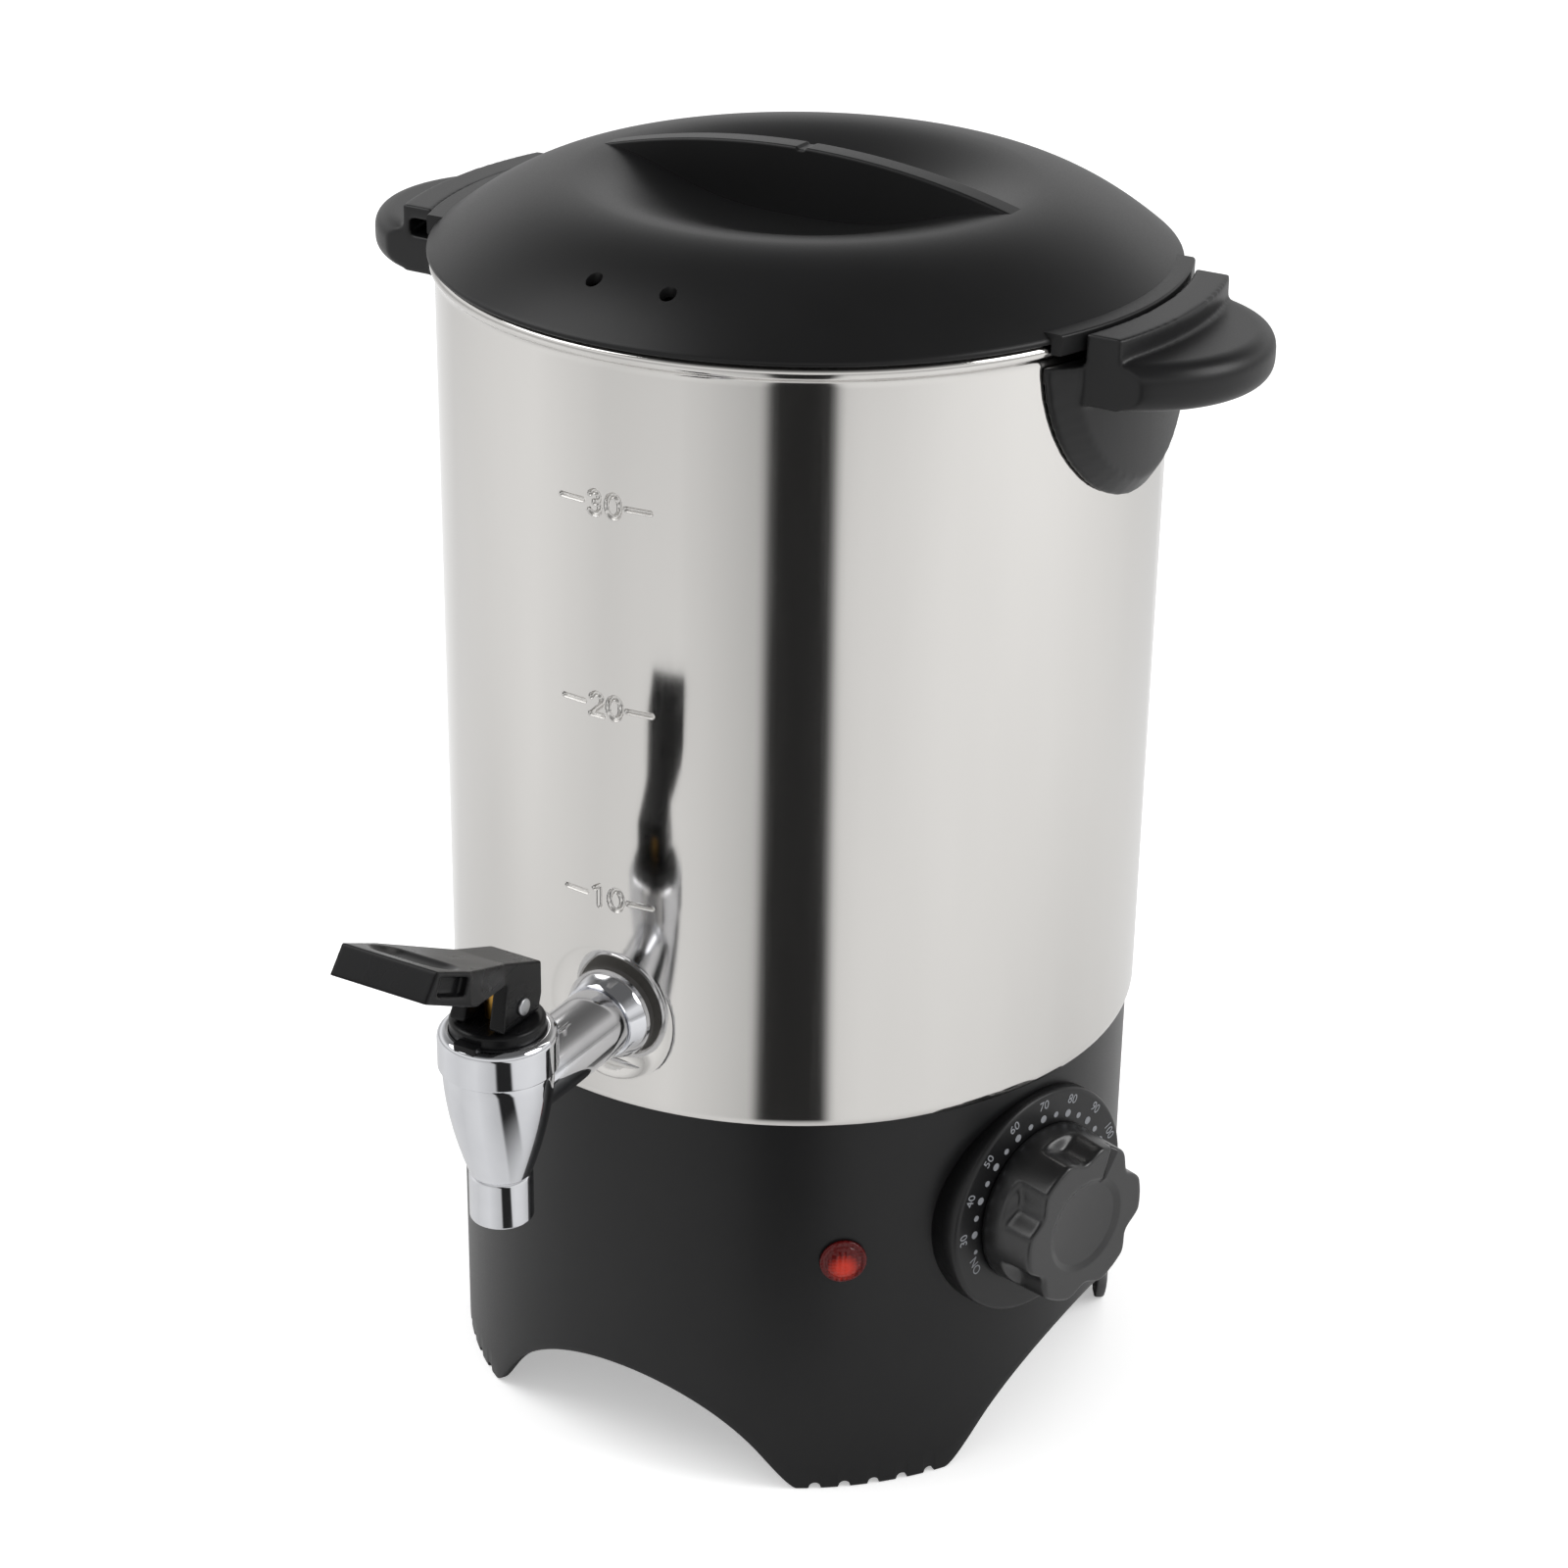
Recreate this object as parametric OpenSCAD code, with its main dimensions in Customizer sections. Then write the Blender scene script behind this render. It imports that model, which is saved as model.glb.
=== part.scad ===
// Countertop coffee urn: a steel tank on a black base, with a push-lever tap and a turn-and-lift lid.
// The origin is on the tank's axis at the level the feet stand on. +Z is up, the tap points to -Y
// and the handles lie on the X axis. An azimuth is counted from the tap towards +X.

/* [Tank] */
// Outer diameter of the steel tank
tank_d = 200; // [194:1:208]
// Height of the steel wall from its lower edge to the top of the rim
wall_h = 216; // [200:1:230]
// Thickness of the steel sheet
sheet_t = 1; // [0.8:0.1:1.4]
// Radius of the rolled rim
rim_r = 2; // [1.6:0.1:2.4]
// Height of the tank's floor above the lower edge of the wall
skirt_h = 7; // [5:0.5:7.5]
// Diameter of the flat seat pressed into the wall for the tap
seat_d = 35; // [33:0.5:36]
// Depth of that seat at its middle
seat_depth = 3.5; // [3.2:0.1:4.2]

/* [Base] */
// Height of the base from the feet to the lower edge of the steel
base_h = 121; // [118:1:132]
// Wall of the base
base_wall = 3; // [2.4:0.1:3.6]
// Gap between the base and the steel skirt round it
base_play = 0.7; // [0.5:0.1:1.2]
// Width of each arch between two feet at the floor
arch_w = 98; // [92:1:102]
// Height of each arch
arch_h = 33; // [28:1:36]
// Number of notches in the lower edge of each foot
notch_n = 5; // [3:1:5]
// Radius of a notch
notch_r = 1.8; // [1.4:0.1:2]
// Angle between two notches
notch_step = 5; // [4.6:0.1:5.2]
// Thickness of the cover under the base
cover_t = 2.5; // [2:0.1:3.5]
// Height of the cover above the arches
cover_up = 4; // [3:0.5:6]

/* [Heater] */
// Diameter of the heater plate
plate_d = 140; // [134:1:146]
// Thickness of the heater plate
plate_t = 8; // [7:0.5:10]
// Diameter of the tubular heating element
element_d = 8; // [6.5:0.1:9]
// Diameter of the tie rods that clamp tank and base
rod_d = 5; // [4:0.5:6]

/* [Tap] */
// Height of the shank above the lower edge of the steel
tap_up = 26.6; // [25.6:0.1:32]
// Distance from the tank's axis to the axis of the cup
tap_reach = 151.6; // [146:0.1:160]
// Outer diameter of the shank
shank_d = 17; // [16:0.5:18]
// Bore of the shank
shank_bore_d = 10; // [8:0.5:11]
// Height of the cup's top above the axis of the shank
cup_up = 19.9; // [19:0.1:20.5]
// Diameter of the collar round the top of the cup
collar_d = 31.5; // [31:0.5:34]
// Height of the collar
collar_h = 10; // [8:0.5:11]
// Height of the tapering barrel under the collar
barrel_h = 32; // [31:0.5:34]
// Height of the spout
spout_h = 13.5; // [11:0.5:16]
// Diameter of the spout
spout_d = 17; // [16:0.5:18]
// Bore of the spout
spout_bore_d = 10; // [8:0.5:11]
// Diameter of the valve chamber inside the cup
chamber_d = 18; // [17:0.5:19]
// Diameter of the flange that covers the tap's washer
flange_d = 25.4; // [24:0.1:28]

/* [Lever] */
// Height of the lever's pivot above the top of the cup
pivot_up = 9; // [8.2:0.1:10.7]
// Height of the bonnet's flat top above the top of the cup
bonnet_up = 4.4; // [3.4:0.1:4.8]
// Stem lift for one radian of lever travel
lift_rate = 7; // [6.5:0.1:7.5]
// Full swing of the lever
lever_swing = 25; // [20:1:28]
// Reach of the paddle's upper front edge from the pivot
paddle_out = 44.3; // [40:0.5:50]
// Rise of the paddle above the horizontal
paddle_rise = 24.2; // [22:0.1:28]
// Thickness of the paddle
paddle_t = 8.4; // [7.5:0.1:10]
// Width of the paddle's front
paddle_w = 29; // [26:0.5:32]
// Width of the lever's heel
heel_w = 16; // [15:0.5:18]
// Diameter of the stem
stem_d = 6.4; // [5.6:0.1:6.6]
// Diameter of the pivot pin
pin_d = 3; // [2.4:0.1:3.2]

/* [Handles] */
// Reach of a handle beyond the tank's wall
handle_out = 35; // [31:1:42]
// Width of a handle at the tank
handle_w = 76; // [70:1:82]
// Thickness of the shelf
shelf_t = 13; // [11.5:0.5:16]
// Rounding of the shelf's edge
shelf_edge = 5; // [3:0.5:5.5]
// Depth of the shelf's top below the rim
shelf_drop = 3.5; // [3:0.5:5]
// Width of the lip along the rim
lip_w = 66; // [60:1:70]
// Radial thickness of the lip
lip_t = 9.5; // [8:0.5:12]
// Height of the lip's top above the rim
lip_up = 2.5; // [2:0.1:4]
// Height of the tongue below the shelf's top
tongue_h = 45.5; // [42:0.5:52]
// Thickness of the tongue
tongue_t = 5.4; // [4.6:0.1:6.5]
// Diameter of the screws that hold a handle
handle_screw_d = 4; // [3:0.5:5]

/* [Lid] */
// Overhang of the lid's edge beyond the tank's wall
lid_over = 2; // [1.6:0.1:2.6]
// Wall of the lid
lid_t = 3; // [2.4:0.1:3.4]
// Radius of the lid's crest
crest_r = 62; // [58:1:66]
// Height of the crest above the rim
crest_up = 20; // [18:0.5:23]
// Height of the bowl's middle above the rim
bowl_up = 9.5; // [8:0.5:12]
// Half length of the grip across the bowl
grip_half = 65; // [62:0.5:68]
// Height of the grip's middle above the rim
grip_up = 28.3; // [25:0.1:32]
// Thickness of the grip
grip_t = 7; // [6:0.5:9]
// Diameter of the steam vents
vent_d = 4.4; // [3.6:0.1:5]
// Reach of the lid's lugs beyond the tank's wall
lug_out = 4.8; // [4:0.1:5.5]

/* [Dial] */
// Azimuth of the dial
dial_az = 74; // [70:0.5:77]
// Depth of the dial's axis below the base's top
dial_drop = 38.5; // [36.5:0.5:41]
// Diameter of the dial's bezel
bezel_d = 68; // [63:1:69]
// Stand of the bezel's face beyond the base
bezel_out = 3.2; // [2.6:0.1:4]
// Diameter of the knob at the bezel
knob_d = 48; // [46:0.5:50]
// Height of the knob
knob_h = 17.5; // [16:0.5:22]
// Diameter of the thermostat's shaft
shaft_d = 6; // [5:0.5:7]

/* [Lamp and inlet] */
// Azimuth of the lamp
lamp_az = 38.8; // [34:0.2:42]
// Height of the lamp
lamp_z = 77; // [70:1:84]
// Diameter of the lamp's lens
lens_d = 13.2; // [12:0.2:15]
// Height of the power inlet at the back
inlet_z = 82; // [76:1:88]

/* [Hidden] */

$fn = 96;
eps = 0.02;
clear = 0.3;
run_fit = 0.05;
far = 400;
over = 1;
wall_cut = 25;

// Tank levels and radii
tank_r = tank_d / 2;
tank_ri = tank_r - sheet_t;
z_edge = base_h;
dial_z = base_h - dial_drop;
z_under = base_h + skirt_h;
z_rim = base_h + wall_h;
rim_mid_r = tank_r - sheet_t / 2;
seat_r = tank_r - seat_depth;
tap_z = z_edge + tap_up;

// Base levels and radii
base_r = tank_ri - base_play;
base_ri = base_r - base_wall;
arch_r = (arch_w * arch_w / 4 + arch_h * arch_h) / (2 * arch_h);
cover_z = arch_h + cover_up;
cover_top = cover_z + cover_t;
ledge_w = 10;
ledge_t = 3;
boss_d = 8;
boss_h = 12;
boss_at = base_ri - ledge_w / 2;
cover_screw_d = 3;
screw_head_d = 6;
screw_head_h = 2;
screw_len = 12;
foot_az = 45;

// Heater, rods and electric parts
plate_z = z_under - plate_t;
element_at = 0.37 * plate_d;
element_gap = 24;
element_pin_l = 18;
element_pin_az = 3;
rod_at = 30;
rod_n = 3;
rod_end = 6;
nut_h = 4;
nut_d = 1.9 * rod_d;
cutout_d = 16;
cutout_h = 7;
cutout_blade = [6.3, 0.8, 8];
cutout_blade_at = 4;
block_size = [40, 18, 14];
block_at = 48;
block_holes = 3;
block_pitch = 12;
block_bore_d = 4;

// Thermostat and dial
stat_w = 32;
stat_h = 30;
stat_l = 26;
stat_boss_h = 10;
stat_seat_r = base_ri - stat_boss_h;
stat_boss_d = 22;
bush_d = 10;
bush_top = 3;
bezel_face = base_r + bezel_out;
bezel_bevel = 2.6;
bush_end = bezel_face + bush_top;
stat_nut_d = 16;
bulb_d = 6;
bulb_l = 44;
bulb_inset = 6;
bulb_at = plate_d / 2 - bulb_inset;
bulb_z = plate_z - bulb_d / 2 - run_fit;
capillary_d = 2.4;
knob_foot = bezel_face + clear;
knob_top = knob_foot + knob_h;
knob_draft = 0.8;
knob_hollow_d = 36;
knob_hollow_h = bush_top + over;
flute_n = 6;
flute_r = 17;
flute_depth = 3.2;
flute_from = 6.5;
dish_d = 26;
dish_depth = 1.8;
dish_r = (dish_d * dish_d / 4 + dish_depth * dish_depth) / (2 * dish_depth);
pointer_az = 27;
pointer_w = 2;
shaft_depth = 12;
shaft_cover = 4;

// Lamp
lens_stem_d = 0.76 * lens_d;
lens_flange_t = 1;
lens_dome = 2;
lens_step = 2;
holder_d = lens_d + lens_step;
holder_l = 8;
lens_stem_l = base_wall + holder_l;

// Inlet
inlet_w = 28;
inlet_h = 20;
inlet_l = 26;
inlet_wall = 2;
inlet_flange = [48, 25];
inlet_flange_out = 2.6;
socket_depth = 18;
pin_len = 12;
pin_size = [4, 2];
pin_pitch = 7;
pin_root = 4;
inlet_screw_d = 3;
inlet_screw_at = 19;
inlet_screw_l = 9;
inlet_head_d = 5;
inlet_head_h = 1;

// Tap levels, counted down from the top of the cup
cup_z = tap_z + cup_up;
collar_r = collar_d / 2;
collar_step = 1.1;
spout_step = 0.3;
barrel_top_r = collar_r - collar_step;
barrel_low_r = spout_d / 2 - spout_step;
barrel_power = 1.8;
barrel_steps = 10;
plug_depth = 8;
plug_step = 3;
plug_r = chamber_d / 2 + plug_step;
barrel_z = cup_z - collar_h - barrel_h;
spout_z = barrel_z - spout_h;
seat_cone_h = 4;
seat_up = 9.5;
seat_top_z = barrel_z + seat_up;
shank_in = 12;
shank_end_r = seat_r - sheet_t - shank_in;
gasket_t = 2;
flange_t = 6.5;
flange_bevel = 4.5;
flange_nose = 4;
flange_front_r = seat_r + gasket_t + flange_t;
neck_step = 1.5;
neck_d = shank_d + 2 * neck_step;
tap_nut_t = 6;
tap_nut_wall = 5;
tap_nut_d = shank_d + 2 * tap_nut_wall;
inner_gasket_d = shank_d + 2 * tap_nut_wall - gasket_t;
gasket_inset = 0.3;
outer_gasket_d = flange_d - 2 * gasket_inset;

// Stem and lever
bonnet_z = cup_z + bonnet_up;
pivot_z = cup_z + pivot_up;
bonnet_step = 0.6;
bonnet_r = plug_r + bonnet_step;
bonnet_round = 1;
tab_w = 7;
tab_t = 2;
stem_r = stem_d / 2;
cheek_gap = 0.5;
cheek_in = stem_r + cheek_gap;
cam_drop = pivot_up - bonnet_up - clear;
stem_top = 6.2;
cup_seal_h = 6;
cup_seal_play = 1;
cup_seal_r = chamber_d / 2 - cup_seal_play;
stem_disc_r = 6;
stem_disc_t = 2;
seal_base_z = seat_top_z - seat_cone_h / 2;
stem_foot_z = seal_base_z + cup_seal_h;
spring_r = 5;
spring_wire_r = 0.6;
spring_turns = 6;
spring_sides = 6;
spring_rings = 8;
spring_low = stem_foot_z + stem_disc_t + spring_wire_r + eps;
spring_high = cup_z - plug_depth - spring_wire_r - eps;
cam_steps = 8;
heel_back = 8.9;
heel_up = 9.2;
fold_out = 7.3;
heel_rise = 21.3;
fold_up = heel_up + (fold_out + heel_back) * tan(heel_rise);
paddle_up = fold_up + (paddle_out - fold_out) * tan(paddle_rise);
front_lean = 5.5;
front_share = 0.78;
front_low = paddle_up - front_share * paddle_t;
neck_out = 26.6;
under_rise = paddle_rise + 2.6;
neck_low = front_low - (paddle_out + front_lean - neck_out) * tan(under_rise);
cheek_front = 6.4;
cheek_top = 8.9;
bridge_t = 4.4;
heel_chamfer = 1.4;
head_from = 31;
pocket_l = 12.5;
pocket_h = 4.8;
pocket_depth = 2.4;
pocket_at = paddle_out - 6;
pocket_up = fold_up + (pocket_at - fold_out) * tan(paddle_rise) - paddle_t / 2;
thumb_r = 12;
thumb_depth = 1.8;
thumb_half = 6;
thumb_at = paddle_out - 9.5;
pin_head_d = 1.6 * pin_d;
pin_head_t = 0.8;

// Handles
lug_r = tank_r + lug_out;
lip_ri = lug_r + 2 * clear;
lip_ro = lip_ri + lip_t;
lip_z = z_rim + lip_up;
ledge_under = 2;
ledge_z = z_rim - 2 * rim_r - ledge_under;
shelf_z = z_rim - shelf_drop;
shelf_low = shelf_z - shelf_t;
hug_r = tank_r + 2 * run_fit;
shelf_chord = tank_r - shelf_edge;
shelf_span = tank_r + handle_out - shelf_chord;
shelf_r = (handle_w * handle_w / 4 + shelf_span * shelf_span) / (2 * shelf_span);
shelf_mid = tank_r + handle_out - shelf_r;
tongue_power = 2;
tongue_steps = 24;
tongue_band = 5;
tongue_step_t = 3.2;
tongue_layers = 5;
groove_wall = 2.4;
groove_roof = 3.6;
groove_stop = 8;
tongue_spare = 2;
tongue_half = handle_w / 2 + tongue_spare;
handle_screw_az = 8.5;
handle_screw_drop = 23;
handle_screw_z = shelf_z - handle_screw_drop;
handle_screw_in = 4;
washer_d = 11;
washer_t = 1;
washer_r = tank_ri - washer_t - 4 * run_fit;
handle_head_d = 1.8 * handle_screw_d;
handle_head_h = 2;

// Lid
lid_r = tank_r + lid_over;
lid_z = z_rim + clear;
lid_edge_up = 1.5;
dome_power = 1.8;
lid_steps = 14;
bowl_power = 1.5;
grip_sink = 0.6;
plug_play = 4;
plug_out = tank_ri - plug_play;
plug_w = 3;
plug_drop = 8;
rail_t = 1.5;
lug_up = 3;
lug_root = 4;
lug_in = tank_r - lug_root;
lug_spare = 0.5;
lug_half = tongue_half - lug_spare;
lug_skirt = 2.3;
skirt_in = rim_mid_r + rim_r + lug_spare;
vent_at = 87.5;
vent_az = 7.2;
seal_in = plug_out + run_fit;
seal_play = 0.4;
seal_out = tank_ri - seal_play;
seal_h = 4;
seal_low = z_rim - plug_drop + run_fit;
handle_az = 90;

// Places its children with local +Z pointing away from the tank's axis and local +Y up
module outward(az, r, z) {
    rotate([0, 0, az])
        translate([0, -r, z])
            rotate([90, 0, 0])
                children();
}

// Extrudes a side view, drawn as distance out and height, across the tap's plane
module side_view(w) {
    rotate([90, 0, -90])
        linear_extrude(w, center = true)
            children();
}

module ring(r_out, r_in, h) {
    difference() {
        cylinder(h = h, r = r_out);
        translate([0, 0, -over])
            cylinder(h = h + 2 * over, r = r_in);
    }
}

// Rectangle with its two outer corners rounded, for revolving
module rounded_slab(r, h, round) {
    square([r - round, h]);
    translate([0, round])
        square([r, h - 2 * round]);
    translate([r - round, round])
        circle(round);
    translate([r - round, h - round])
        circle(round);
}

// Steel tank with its floor, rolled rim and the flat seat for the tap
module tank() {
    color("silver")
        difference() {
            union() {
                difference() {
                    rotate_extrude()
                        union() {
                            translate([tank_ri, z_edge])
                                square([sheet_t, wall_h - rim_r]);
                            translate([0, z_under])
                                square([tank_r - sheet_t / 2, sheet_t]);
                            translate([rim_mid_r, z_rim - rim_r])
                                circle(rim_r);
                        }
                    outward(0, tank_r - wall_cut, tap_z)
                        cylinder(h = far, d = seat_d);
                }
                intersection() {
                    outward(0, seat_r - sheet_t, tap_z)
                        difference() {
                            cylinder(h = wall_cut, d = seat_d + 2 * sheet_t);
                            translate([0, 0, sheet_t])
                                cylinder(h = far, d = seat_d);
                        }
                    translate([0, 0, z_edge])
                        cylinder(h = wall_h / 2, r = tank_r);
                }
            }
            outward(0, tank_r - wall_cut, tap_z)
                cylinder(h = far, d = shank_d + 2 * run_fit);
            handle_screw_holes(handle_screw_d / 2 + run_fit, tank_r - wall_cut, 2 * wall_cut);
        }
}

// Holes or shanks for the screws of both handles
module handle_screw_holes(r, from, h) {
    for (side = [-1, 1])
        for (step = [-1, 1])
            outward(side * handle_az + step * handle_screw_az, from, handle_screw_z)
                cylinder(h = h, r = r);
}

// Black base: a plain round wall cut by four arches, with notched feet between them
module base_shell() {
    color([0.12, 0.12, 0.13])
        difference() {
            union() {
                ring(base_r, base_ri, z_under);
                translate([0, 0, cover_top])
                    ring(base_ri + over, base_ri - ledge_w, ledge_t);
                for (i = [0:3])
                    rotate([0, 0, foot_az + 90 * i])
                        translate([0, -boss_at, cover_top])
                            cylinder(h = boss_h, d = boss_d);
                intersection() {
                    outward(dial_az, stat_seat_r, dial_z)
                        cylinder(h = base_r, d = stat_boss_d);
                    cylinder(h = z_under, r = base_r - over);
                }
            }
            for (turn = [0, 90])
                rotate([0, 0, turn])
                    translate([0, 0, arch_h - arch_r])
                        rotate([90, 0, 0])
                            cylinder(h = far, r = arch_r, center = true);
            for (i = [0:3])
                for (k = [0:notch_n - 1])
                    outward(foot_az + 90 * i + (k - (notch_n - 1) / 2) * notch_step, base_r - wall_cut, 0)
                        cylinder(h = far, r = notch_r);
            for (i = [0:3])
                rotate([0, 0, foot_az + 90 * i])
                    translate([0, -boss_at, cover_top - over])
                        cylinder(h = screw_len - cover_t + over + clear, d = cover_screw_d + 2 * run_fit);
            outward(dial_az, 0, dial_z)
                cylinder(h = far, d = bush_d + 2 * run_fit);
            outward(lamp_az, 0, lamp_z)
                cylinder(h = far, d = lens_stem_d + 2 * run_fit);
            outward(180, base_r - wall_cut, inlet_z)
                translate([-inlet_w / 2 - run_fit, -inlet_h / 2 - run_fit, 0])
                    cube([inlet_w + 2 * run_fit, inlet_h + 2 * run_fit, far]);
            for (side = [-1, 1])
                outward(180, 0, inlet_z)
                    translate([side * inlet_screw_at, 0, 0])
                        cylinder(h = far, d = inlet_screw_d + 2 * run_fit);
        }
}

// Round cover that closes the base above the arches
module bottom_cover() {
    color([0.2, 0.2, 0.21])
        translate([0, 0, cover_z])
            difference() {
                cylinder(h = cover_t, r = base_ri - clear);
                for (i = [0:3])
                    rotate([0, 0, foot_az + 90 * i])
                        translate([0, -boss_at, -over])
                            cylinder(h = cover_t + 2 * over, d = cover_screw_d + 2 * run_fit);
                for (i = [0:rod_n - 1])
                    rotate([0, 0, 360 / rod_n * i])
                        translate([0, -rod_at, -over])
                            cylinder(h = cover_t + 2 * over, d = rod_d + 2 * run_fit);
            }
}

// Four screws that hold the cover
module base_screws() {
    color("gray")
        for (i = [0:3])
            rotate([0, 0, foot_az + 90 * i])
                translate([0, -boss_at, cover_z]) {
                    cylinder(h = screw_len, d = cover_screw_d);
                    translate([0, 0, -screw_head_h])
                        cylinder(h = screw_head_h, d = screw_head_d);
                }
}

// Aluminium plate pressed against the underside of the tank's floor
module heater_plate() {
    color("gainsboro")
        difference() {
            translate([0, 0, plate_z])
                cylinder(h = plate_t, d = plate_d);
            translate([0, 0, plate_z])
                rotate_extrude()
                    translate([element_at, 0])
                        circle(element_d / 2 + run_fit);
            for (i = [0:rod_n - 1])
                rotate([0, 0, 360 / rod_n * i])
                    translate([0, -rod_at, plate_z - over])
                        cylinder(h = plate_t + 2 * over, d = rod_d + 2 * run_fit);
        }
}

// Tubular element let into the plate, with two connection pins at the back
module heating_element() {
    color("dimgray")
        translate([0, 0, plate_z]) {
            rotate([0, 0, 90 + element_gap / 2])
                rotate_extrude(angle = 360 - element_gap)
                    translate([element_at, 0])
                        circle(element_d / 2);
            for (side = [-1, 1])
                rotate([0, 0, 180 + side * (element_gap / 2 + element_pin_az)])
                    translate([0, -element_at, -element_pin_l])
                        cylinder(h = element_pin_l, d = element_d / 2);
        }
}

// Safety cut-out on the middle of the plate
module thermal_cutout() {
    color("white")
        translate([0, 0, plate_z - cutout_h]) {
            cylinder(h = cutout_h, d = cutout_d);
            for (side = [-1, 1])
                translate([
                    side * cutout_blade_at - cutout_blade[1] / 2,
                    -cutout_blade[0] / 2,
                    -cutout_blade[2]
                ])
                    cube([cutout_blade[1], cutout_blade[0], cutout_blade[2] + over]);
        }
}

// Rods welded to the tank's floor that reach down through the cover
module tie_rods() {
    color("lightgray")
        for (i = [0:rod_n - 1])
            rotate([0, 0, 360 / rod_n * i])
                translate([0, -rod_at, cover_z - rod_end])
                    cylinder(h = z_under - cover_z + rod_end, d = rod_d);
}

// Nuts on the rods under the cover
module tie_nuts() {
    color("gray")
        for (i = [0:rod_n - 1])
            rotate([0, 0, 360 / rod_n * i])
                translate([0, -rod_at, cover_z - nut_h])
                    difference() {
                        cylinder(h = nut_h, d = nut_d, $fn = 6);
                        translate([0, 0, -over])
                            cylinder(h = nut_h + 2 * over, d = rod_d + 2 * run_fit);
                    }
}

// Terminal block on the cover, between the inlet and the thermostat
module terminal_block() {
    color("ivory")
        translate([-block_size[0] / 2, block_at - block_size[1] / 2, cover_top])
            difference() {
                cube(block_size);
                for (i = [0:block_holes - 1])
                    translate([
                        block_size[0] / 2 + (i - (block_holes - 1) / 2) * block_pitch,
                        block_size[1] / 2,
                        block_size[2] / 2
                    ])
                        rotate([90, 0, 0])
                            cylinder(h = far, d = block_bore_d, center = true);
            }
}

// Thermostat behind the dial, with the threaded bush that holds it to the base
module thermostat() {
    color("tan")
        outward(dial_az, 0, dial_z)
            difference() {
                union() {
                    translate([-stat_w / 2, -stat_h / 2, stat_seat_r - stat_l])
                        cube([stat_w, stat_h, stat_l]);
                    translate([0, 0, stat_seat_r - over])
                        cylinder(h = bush_end - stat_seat_r + over, d = bush_d);
                }
                translate([0, 0, stat_seat_r - shaft_depth - clear])
                    cylinder(h = far, d = shaft_d + 2 * run_fit);
            }
}

// Sensor bulb under the plate with its capillary down to the thermostat
module thermostat_bulb() {
    color("peru")
        rotate([0, 0, dial_az])
            translate([0, -bulb_at, 0]) {
                translate([0, 0, bulb_z])
                    rotate([0, 90, 0])
                        cylinder(h = bulb_l, d = bulb_d, center = true);
                translate([0, 0, dial_z + stat_h / 2])
                    cylinder(h = bulb_z - dial_z - stat_h / 2, d = capillary_d);
            }
}

// Nut that clamps the thermostat, the base and the bezel together
module thermostat_nut() {
    color("gray")
        outward(dial_az, bezel_face, dial_z)
            difference() {
                cylinder(h = bush_top - clear, d = stat_nut_d, $fn = 6);
                translate([0, 0, -over])
                    cylinder(h = bush_top + 2 * over, d = bush_d + 2 * run_fit);
            }
}

// Thermostat shaft that the knob turns
module thermostat_shaft() {
    color("lightgray")
        outward(dial_az, stat_seat_r - shaft_depth, dial_z)
            cylinder(h = knob_top - shaft_cover - stat_seat_r + shaft_depth, d = shaft_d);
}

// Raised round bezel that carries the scale, with a saddle-shaped back
module dial_bezel() {
    color([0.15, 0.15, 0.16])
        difference() {
            outward(dial_az, 0, dial_z)
                rotate_extrude()
                    polygon([
                        [0, base_r / 2],
                        [bezel_d / 2, base_r / 2],
                        [bezel_d / 2, bezel_face - bezel_bevel],
                        [bezel_d / 2 - bezel_bevel, bezel_face],
                        [0, bezel_face]
                    ]);
            cylinder(h = z_under, r = base_r + eps);
            outward(dial_az, 0, dial_z)
                cylinder(h = far, d = bush_d + 2 * run_fit);
        }
}

// Fluted knob with a round dish and a pointer notch in its face
module knob() {
    color([0.1, 0.1, 0.11])
        outward(dial_az, 0, dial_z)
            difference() {
                translate([0, 0, knob_foot])
                    cylinder(h = knob_h, d1 = knob_d, d2 = knob_d - 2 * knob_draft);
                translate([0, 0, knob_foot - over])
                    cylinder(h = knob_hollow_h + over, d = knob_hollow_d);
                for (i = [0:flute_n - 1])
                    rotate([0, 0, -pointer_az + 360 / flute_n * (i + 0.5)])
                        translate([0, knob_d / 2 + flute_r - flute_depth, knob_foot + flute_from])
                            cylinder(h = knob_h, r = flute_r);
                translate([0, 0, knob_top + dish_r - dish_depth])
                    sphere(dish_r);
                rotate([0, 0, -pointer_az])
                    translate([0, knob_d / 2, knob_top])
                        rotate([0, 45, 0])
                            cube([pointer_w, knob_d - dish_d - 2 * knob_draft, pointer_w], center = true);
                translate([0, 0, knob_foot - over])
                    cylinder(h = knob_h - shaft_cover + over + run_fit, d = shaft_d + 2 * run_fit);
            }
}

// Red lens of the heating lamp
module lamp_lens() {
    color("red")
        difference() {
            outward(lamp_az, 0, lamp_z)
                union() {
                    translate([0, 0, base_r - lens_stem_l])
                        cylinder(h = lens_stem_l, d = lens_stem_d);
                    translate([0, 0, base_r - over])
                        cylinder(h = over + lens_flange_t, d = lens_d);
                    intersection() {
                        translate([0, 0, base_r + lens_flange_t + lens_dome - lens_d])
                            sphere(lens_d);
                        translate([0, 0, base_r])
                            cylinder(h = lens_flange_t + lens_dome, d = lens_d - lens_step);
                    }
                }
            difference() {
                ring(base_r + eps, base_ri, z_under);
                outward(lamp_az, 0, lamp_z)
                    cylinder(h = far, d = lens_stem_d);
            }
        }
}

// Push-on holder behind the lens
module lamp_holder() {
    color([0.25, 0.25, 0.26])
        outward(lamp_az, base_ri - holder_l - 2 * clear, lamp_z)
            ring(holder_d / 2, lens_stem_d / 2 + run_fit, holder_l);
}

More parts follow.
